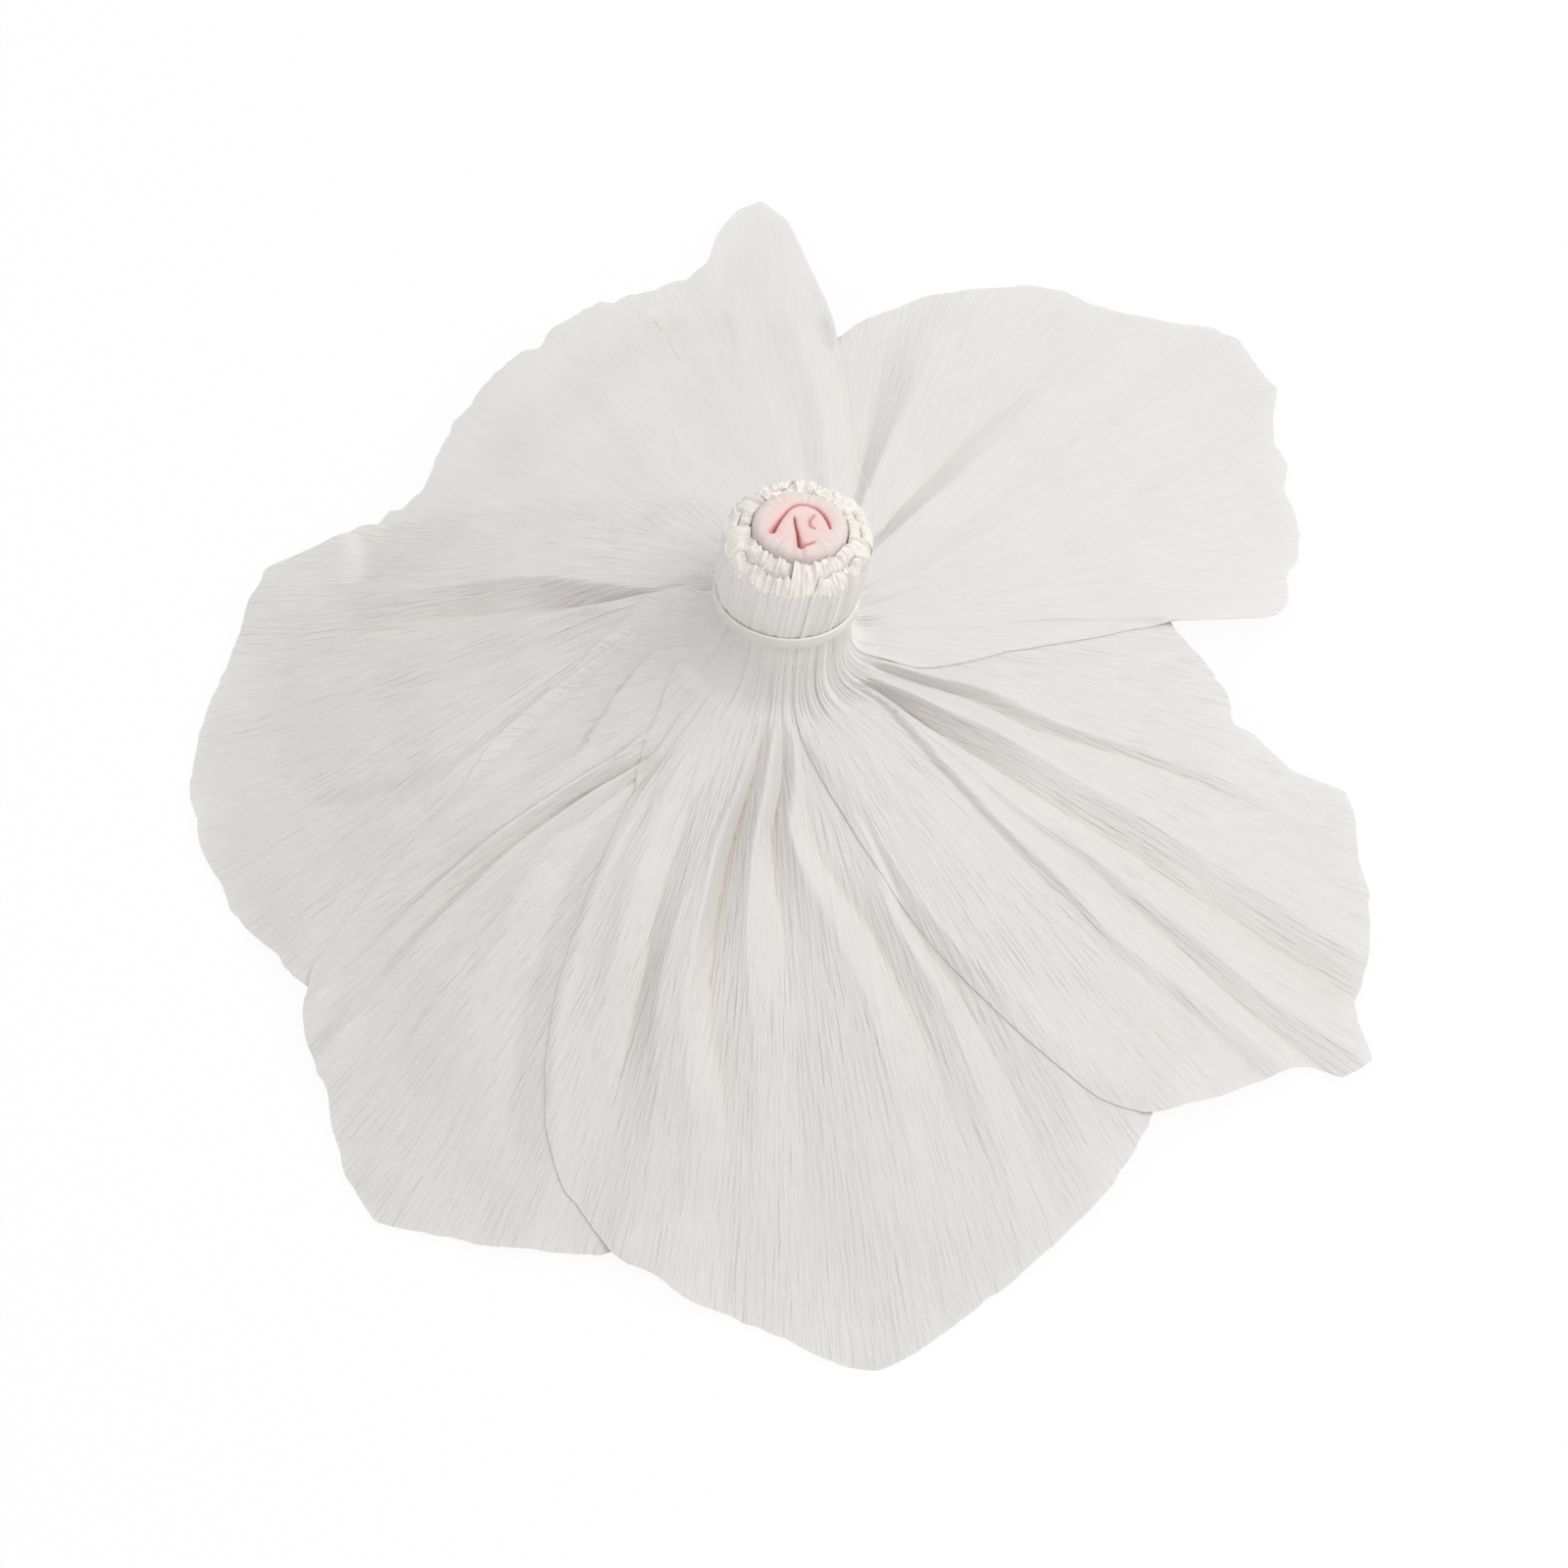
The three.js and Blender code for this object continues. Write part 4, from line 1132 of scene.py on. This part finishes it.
# The petals
fans = {name: petal_columns(name) for name in PETALS}
for name in PETALS:
    before = fans[PETAL_ORDER[PETAL_ORDER.index(name) - 1]]
    petal = closed_sheet("crepe_" + name, fans[name], drape_map(before))
    petal.data.materials.append(PAPER)
    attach(petal, "root")
    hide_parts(name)

# Rolled centre. Slits between its turns are lines in shares of its radius, each with its openings
ROLL_SLITS = [
    [(-0.6, -0.36), (-0.53, -0.18), (-0.4, 0.1), (-0.27, 0.34), (-0.14, 0.49), (0.03, 0.55), (0.19, 0.52),
     (0.39, 0.41), (0.52, 0.2), (0.6, -0.04), (0.62, -0.2)],
    [(-0.13, 0.17), (-0.11, -0.09), (-0.06, -0.32), (-0.04, -0.56), (-0.02, -0.74), (0.12, -0.68),
     (0.29, -0.58)],
    [(0.29, 0.22), (0.18, 0.05), (0.19, -0.13), (0.29, -0.2)],
]
SLIT_DEPTHS = (2.3, 2.3, 0.7)
SLIT_WIDTHS = (0.24, 0.24, 0.26)
SLIT_OPENINGS = (
    (1.6, 1.2, 0.8, 0.6, 0.7, 0.55, 0.6, 0.7, 0.8, 0.7, 0.4),
    (0.4, 0.6, 0.8, 1.1, 1.7, 0.8, 0.4),
    (0.6, 0.9, 0.9, 0.6),
)
SLIT_STEPS = 90
SLIT_BLUR = 5
SLIT_SAG_SHARE = 0.2
SLIT_SAG_REACH = 0.9
# Painted shade: how far the darker pink reaches out from the slits
SLIT_SHADE_REACH = 0.5
FADED_RIM = (0.5, 0.92)
ROLL_ROUNDING = 2.4
ROLL_ROUNDING_DEPTH = 2.0
WRINKLE_HEIGHT = 0.22
WRINKLE_TURN = 7
WRINKLE_SEED = 901
WRINKLE_START = (4, 8)
ROLL_CELLS = 130
ROLL_SIDE_ROWS = 12


def slit_distance(x, y, shares, openings):
    """How far points lie from the middle of a slit, less where it gapes."""
    knots = np.array(shares, float) * ROLL_RADIUS
    steps = np.linspace(0, len(knots) - 1, SLIT_STEPS)
    path = np.stack([np.interp(steps, np.arange(len(knots)), knots[:, i]) for i in (0, 1)], axis=-1)
    path = np.stack([blurred(path[:, i], SLIT_BLUR) for i in (0, 1)], axis=-1)
    gape = np.interp(steps, np.arange(len(knots)), openings)
    nearest = np.full(x.shape, np.inf)
    for spot, opening in zip(path, gape):
        nearest = np.minimum(nearest, np.hypot(x - spot[0], y - spot[1]) / opening)
    return nearest


def slit_shade_mask(x, y):
    """Painted shade beside the slits: how strongly the pink deepens there."""
    slit_shade = np.zeros(x.shape)
    for shares, openings, deep in zip(ROLL_SLITS, SLIT_OPENINGS, SLIT_DEPTHS):
        away = slit_distance(x, y, shares, openings)
        slit_shade = np.maximum(slit_shade, min(deep, 1.0) * np.exp(-away / SLIT_SHADE_REACH))
    return slit_shade


def roll_top(x, y):
    """Height of the soft turned edges over the neck's own zero."""
    radius = np.hypot(x, y)
    azimuth = np.degrees(np.arctan2(y, x))
    inward = np.clip((ROLL_RADIUS - radius) / ROLL_ROUNDING, 0, 1)
    rounded = 1 - np.sqrt(np.maximum(1 - (1 - inward) ** 2, 0))
    height = NECK_HEIGHT + ROLL_PROUD - ROLL_ROUNDING_DEPTH * rounded
    for shares, openings, deep, wide in zip(ROLL_SLITS, SLIT_OPENINGS, SLIT_DEPTHS, SLIT_WIDTHS):
        away = slit_distance(x, y, shares, openings)
        height = height - deep * np.exp(-((away / wide) ** 2))
        height = height - SLIT_SAG_SHARE * deep * np.exp(-away / SLIT_SAG_REACH)
    wrinkles = unevenness(azimuth + 180, WRINKLE_TURN, WRINKLE_SEED) * smooth(radius, *WRINKLE_START)
    return height + WRINKLE_HEIGHT * wrinkles


def make_roll():
    """A square grid turned into a disc for the cut end, with walls down into the neck."""
    side = np.linspace(-1, 1, ROLL_CELLS + 1)
    a, b = np.meshgrid(side, side, indexing="ij")
    reach = np.maximum(np.abs(a), np.abs(b))
    with np.errstate(divide="ignore", invalid="ignore"):
        turn = np.where(np.abs(a) >= np.abs(b), math.pi / 4 * b / a, math.pi / 2 - math.pi / 4 * a / b)
    turn = np.nan_to_num(turn)
    turn = np.where((np.abs(a) >= np.abs(b)) & (a < 0), turn + math.pi, turn)
    turn = np.where((np.abs(a) < np.abs(b)) & (b < 0), turn + math.pi, turn)
    x, y = ROLL_RADIUS * reach * np.cos(turn), ROLL_RADIUS * reach * np.sin(turn)
    top = np.stack([x, y, roll_top(x, y)], axis=-1).reshape(-1, 3)
    at = np.arange((ROLL_CELLS + 1) ** 2).reshape(ROLL_CELLS + 1, ROLL_CELLS + 1)
    faces = quads(at[:-1, :-1], at[1:, :-1], at[1:, 1:], at[:-1, 1:]).tolist()
    loop = np.concatenate([at[:-1, 0], at[-1, :-1], at[:0:-1, -1], at[0, :0:-1]])
    count = len(loop)
    points = [top]
    above = loop
    for row in range(1, ROLL_SIDE_ROWS + 1):
        ring = top[loop].copy()
        ring[:, 2] = mix(ring[:, 2], -ROLL_DEPTH, row / ROLL_SIDE_ROWS)
        start = sum(len(part) for part in points)
        points.append(ring)
        below = np.arange(start, start + count)
        faces += quads(above, below, np.roll(below, -1), np.roll(above, -1)).tolist()
        above = below
    faces.append(above[::-1].tolist())
    points = np.concatenate(points)
    points = points + neck_shift(points[:, 2])
    points[:, 2] += DOME_HEIGHT
    points = (leaned(points, np.ones(len(points))) + FRAME_SHIFT) * MM
    mesh = bpy.data.meshes.new("rolled_centre")
    mesh.from_pydata(points.tolist(), [], faces)
    # Painted shade beside the slits, for the material
    slit_shade = np.zeros(len(points))
    slit_shade[: len(top)] = slit_shade_mask(x, y).reshape(-1)
    carry(mesh, "SlitShade", slit_shade)
    faded = np.ones(len(points))
    faded[: len(top)] = smooth(reach.reshape(-1), *FADED_RIM)
    carry(mesh, "Faded", faded)
    roll = placed("rolled_centre", mesh)
    roll.data.materials.append(PINK)
    return roll


roll = make_roll()
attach(roll, "root")
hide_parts("centre_roll")


# Band round the neck
BAND_SIDES = 144
BAND_ROUNDING = 0.25
BAND_ROUNDING_STEPS = 3
BAND_SHARP_EDGE = math.radians(40)


def neck_matrix():
    axis = Vector((-math.sin(LEAN_TOWARDS), math.cos(LEAN_TOWARDS), 0))
    place = Vector(FRAME_SHIFT) + Vector((0, 0, DOME_HEIGHT))
    return Matrix.Translation(place * MM) @ Matrix.Rotation(LEAN, 4, axis)


def make_band():
    bpy.ops.object.select_all(action="DESELECT")
    bpy.ops.mesh.primitive_cylinder_add(
        vertices=BAND_SIDES, radius=BAND_INNER_RADIUS * MM, depth=BAND_WIDTH * MM, end_fill_type="NOTHING"
    )
    band = bpy.context.object
    band.name = "smooth_band"
    solid = band.modifiers.new("wall", "SOLIDIFY")
    solid.thickness = BAND_THICKNESS * MM
    solid.offset = 1.0
    round_off = band.modifiers.new("rounding", "BEVEL")
    round_off.width = BAND_ROUNDING * MM
    round_off.segments = BAND_ROUNDING_STEPS
    round_off.limit_method = "ANGLE"
    for modifier in list(band.modifiers):
        bpy.ops.object.modifier_apply(modifier=modifier.name)
    band.matrix_world = neck_matrix() @ Matrix.Translation((0, 0, BAND_HEIGHT * MM))
    bpy.ops.object.transform_apply(location=True, rotation=True, scale=True)
    bpy.ops.object.shade_smooth_by_angle(angle=BAND_SHARP_EDGE)
    band.data.materials.append(BAND)
    return band


band = make_band()
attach(band, "root")
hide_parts("neck_band")

# Floor, which the camera sees as nearly white
FLOOR_SIZE = 4.0
FLOOR_DROP = 0.0002
FLOOR_WHITE_SHARE = 0.95
bpy.ops.object.select_all(action="DESELECT")
bpy.ops.mesh.primitive_plane_add(size=FLOOR_SIZE, location=(0, 0, -FLOOR_DROP))
floor = bpy.context.object
floor.name = "floor"
pale = bpy.data.materials.new("pale_floor")
recipe = Recipe(pale)
matt = recipe.add("ShaderNodeBsdfDiffuse", inputs={"Color": (0.8, 0.8, 0.8, 1.0)})
white = recipe.add("ShaderNodeEmission", inputs={"Color": WHITE, "Strength": 1.0})
seen = seen_rays(recipe) * FLOOR_WHITE_SHARE
shown = recipe.add("ShaderNodeMixShader", inputs={0: seen, 1: matt, 2: white})
recipe.add("ShaderNodeOutputMaterial", inputs={"Surface": shown})
floor.data.materials.append(pale)

# Soft studio light: a pale room, brightest overhead, and one large lamp from the right
AROUND_STRENGTH = 0.38
OVERHEAD_STRENGTH = 0.96
world = bpy.data.worlds.new("studio")
bpy.context.scene.world = world
recipe = Recipe(world)
coords = recipe.add("ShaderNodeTexCoord", output="Generated")
upward = recipe.add("ShaderNodeSeparateXYZ", inputs={"Vector": coords}, output="Z").at_least(0.0)
around, overhead, white = (
    recipe.add("ShaderNodeBackground", inputs={"Color": WHITE, "Strength": strength})
    for strength in (AROUND_STRENGTH, OVERHEAD_STRENGTH, 1.0)
)
room = recipe.add("ShaderNodeMixShader", inputs={0: upward, 1: around, 2: overhead})
shown = recipe.add("ShaderNodeMixShader", inputs={0: seen_rays(recipe), 1: room, 2: white})
recipe.add("ShaderNodeOutputWorld", inputs={"Surface": shown})


def add_lamp(name, azimuth, elevation, distance, size, power):
    """A square lamp that shines at the flower from a distance in metres."""
    lamp = bpy.data.lights.new(name, "AREA")
    lamp.size = size
    lamp.energy = power
    holder = bpy.data.objects.new(name, lamp)
    bpy.context.collection.objects.link(holder)
    azimuth, elevation = math.radians(azimuth), math.radians(elevation)
    level = math.cos(elevation)
    heading = Vector((math.cos(azimuth) * level, math.sin(azimuth) * level, math.sin(elevation)))
    holder.location = heading * distance
    holder.rotation_euler = heading.to_track_quat("Z", "Y").to_euler()


add_lamp("key", azimuth=16, elevation=57, distance=1.4, size=1.3, power=11.3)

# Camera
CAMERA_ELEVATION = math.radians(57)
CAMERA_PLACE = np.array([0.737, -417.867, 611.511])
CAMERA_LENS = 78.75
SENSOR_WIDTH = 36.0
lens = bpy.data.cameras.new("camera")
lens.lens = CAMERA_LENS
lens.sensor_width = SENSOR_WIDTH
camera = bpy.data.objects.new("camera", lens)
bpy.context.collection.objects.link(camera)
camera.location = Vector((CAMERA_PLACE + FRAME_SHIFT) * MM)
camera.rotation_euler = (math.pi / 2 - CAMERA_ELEVATION, 0, 0)
bpy.context.scene.camera = camera
bpy.context.scene.view_settings.view_transform = "Standard"
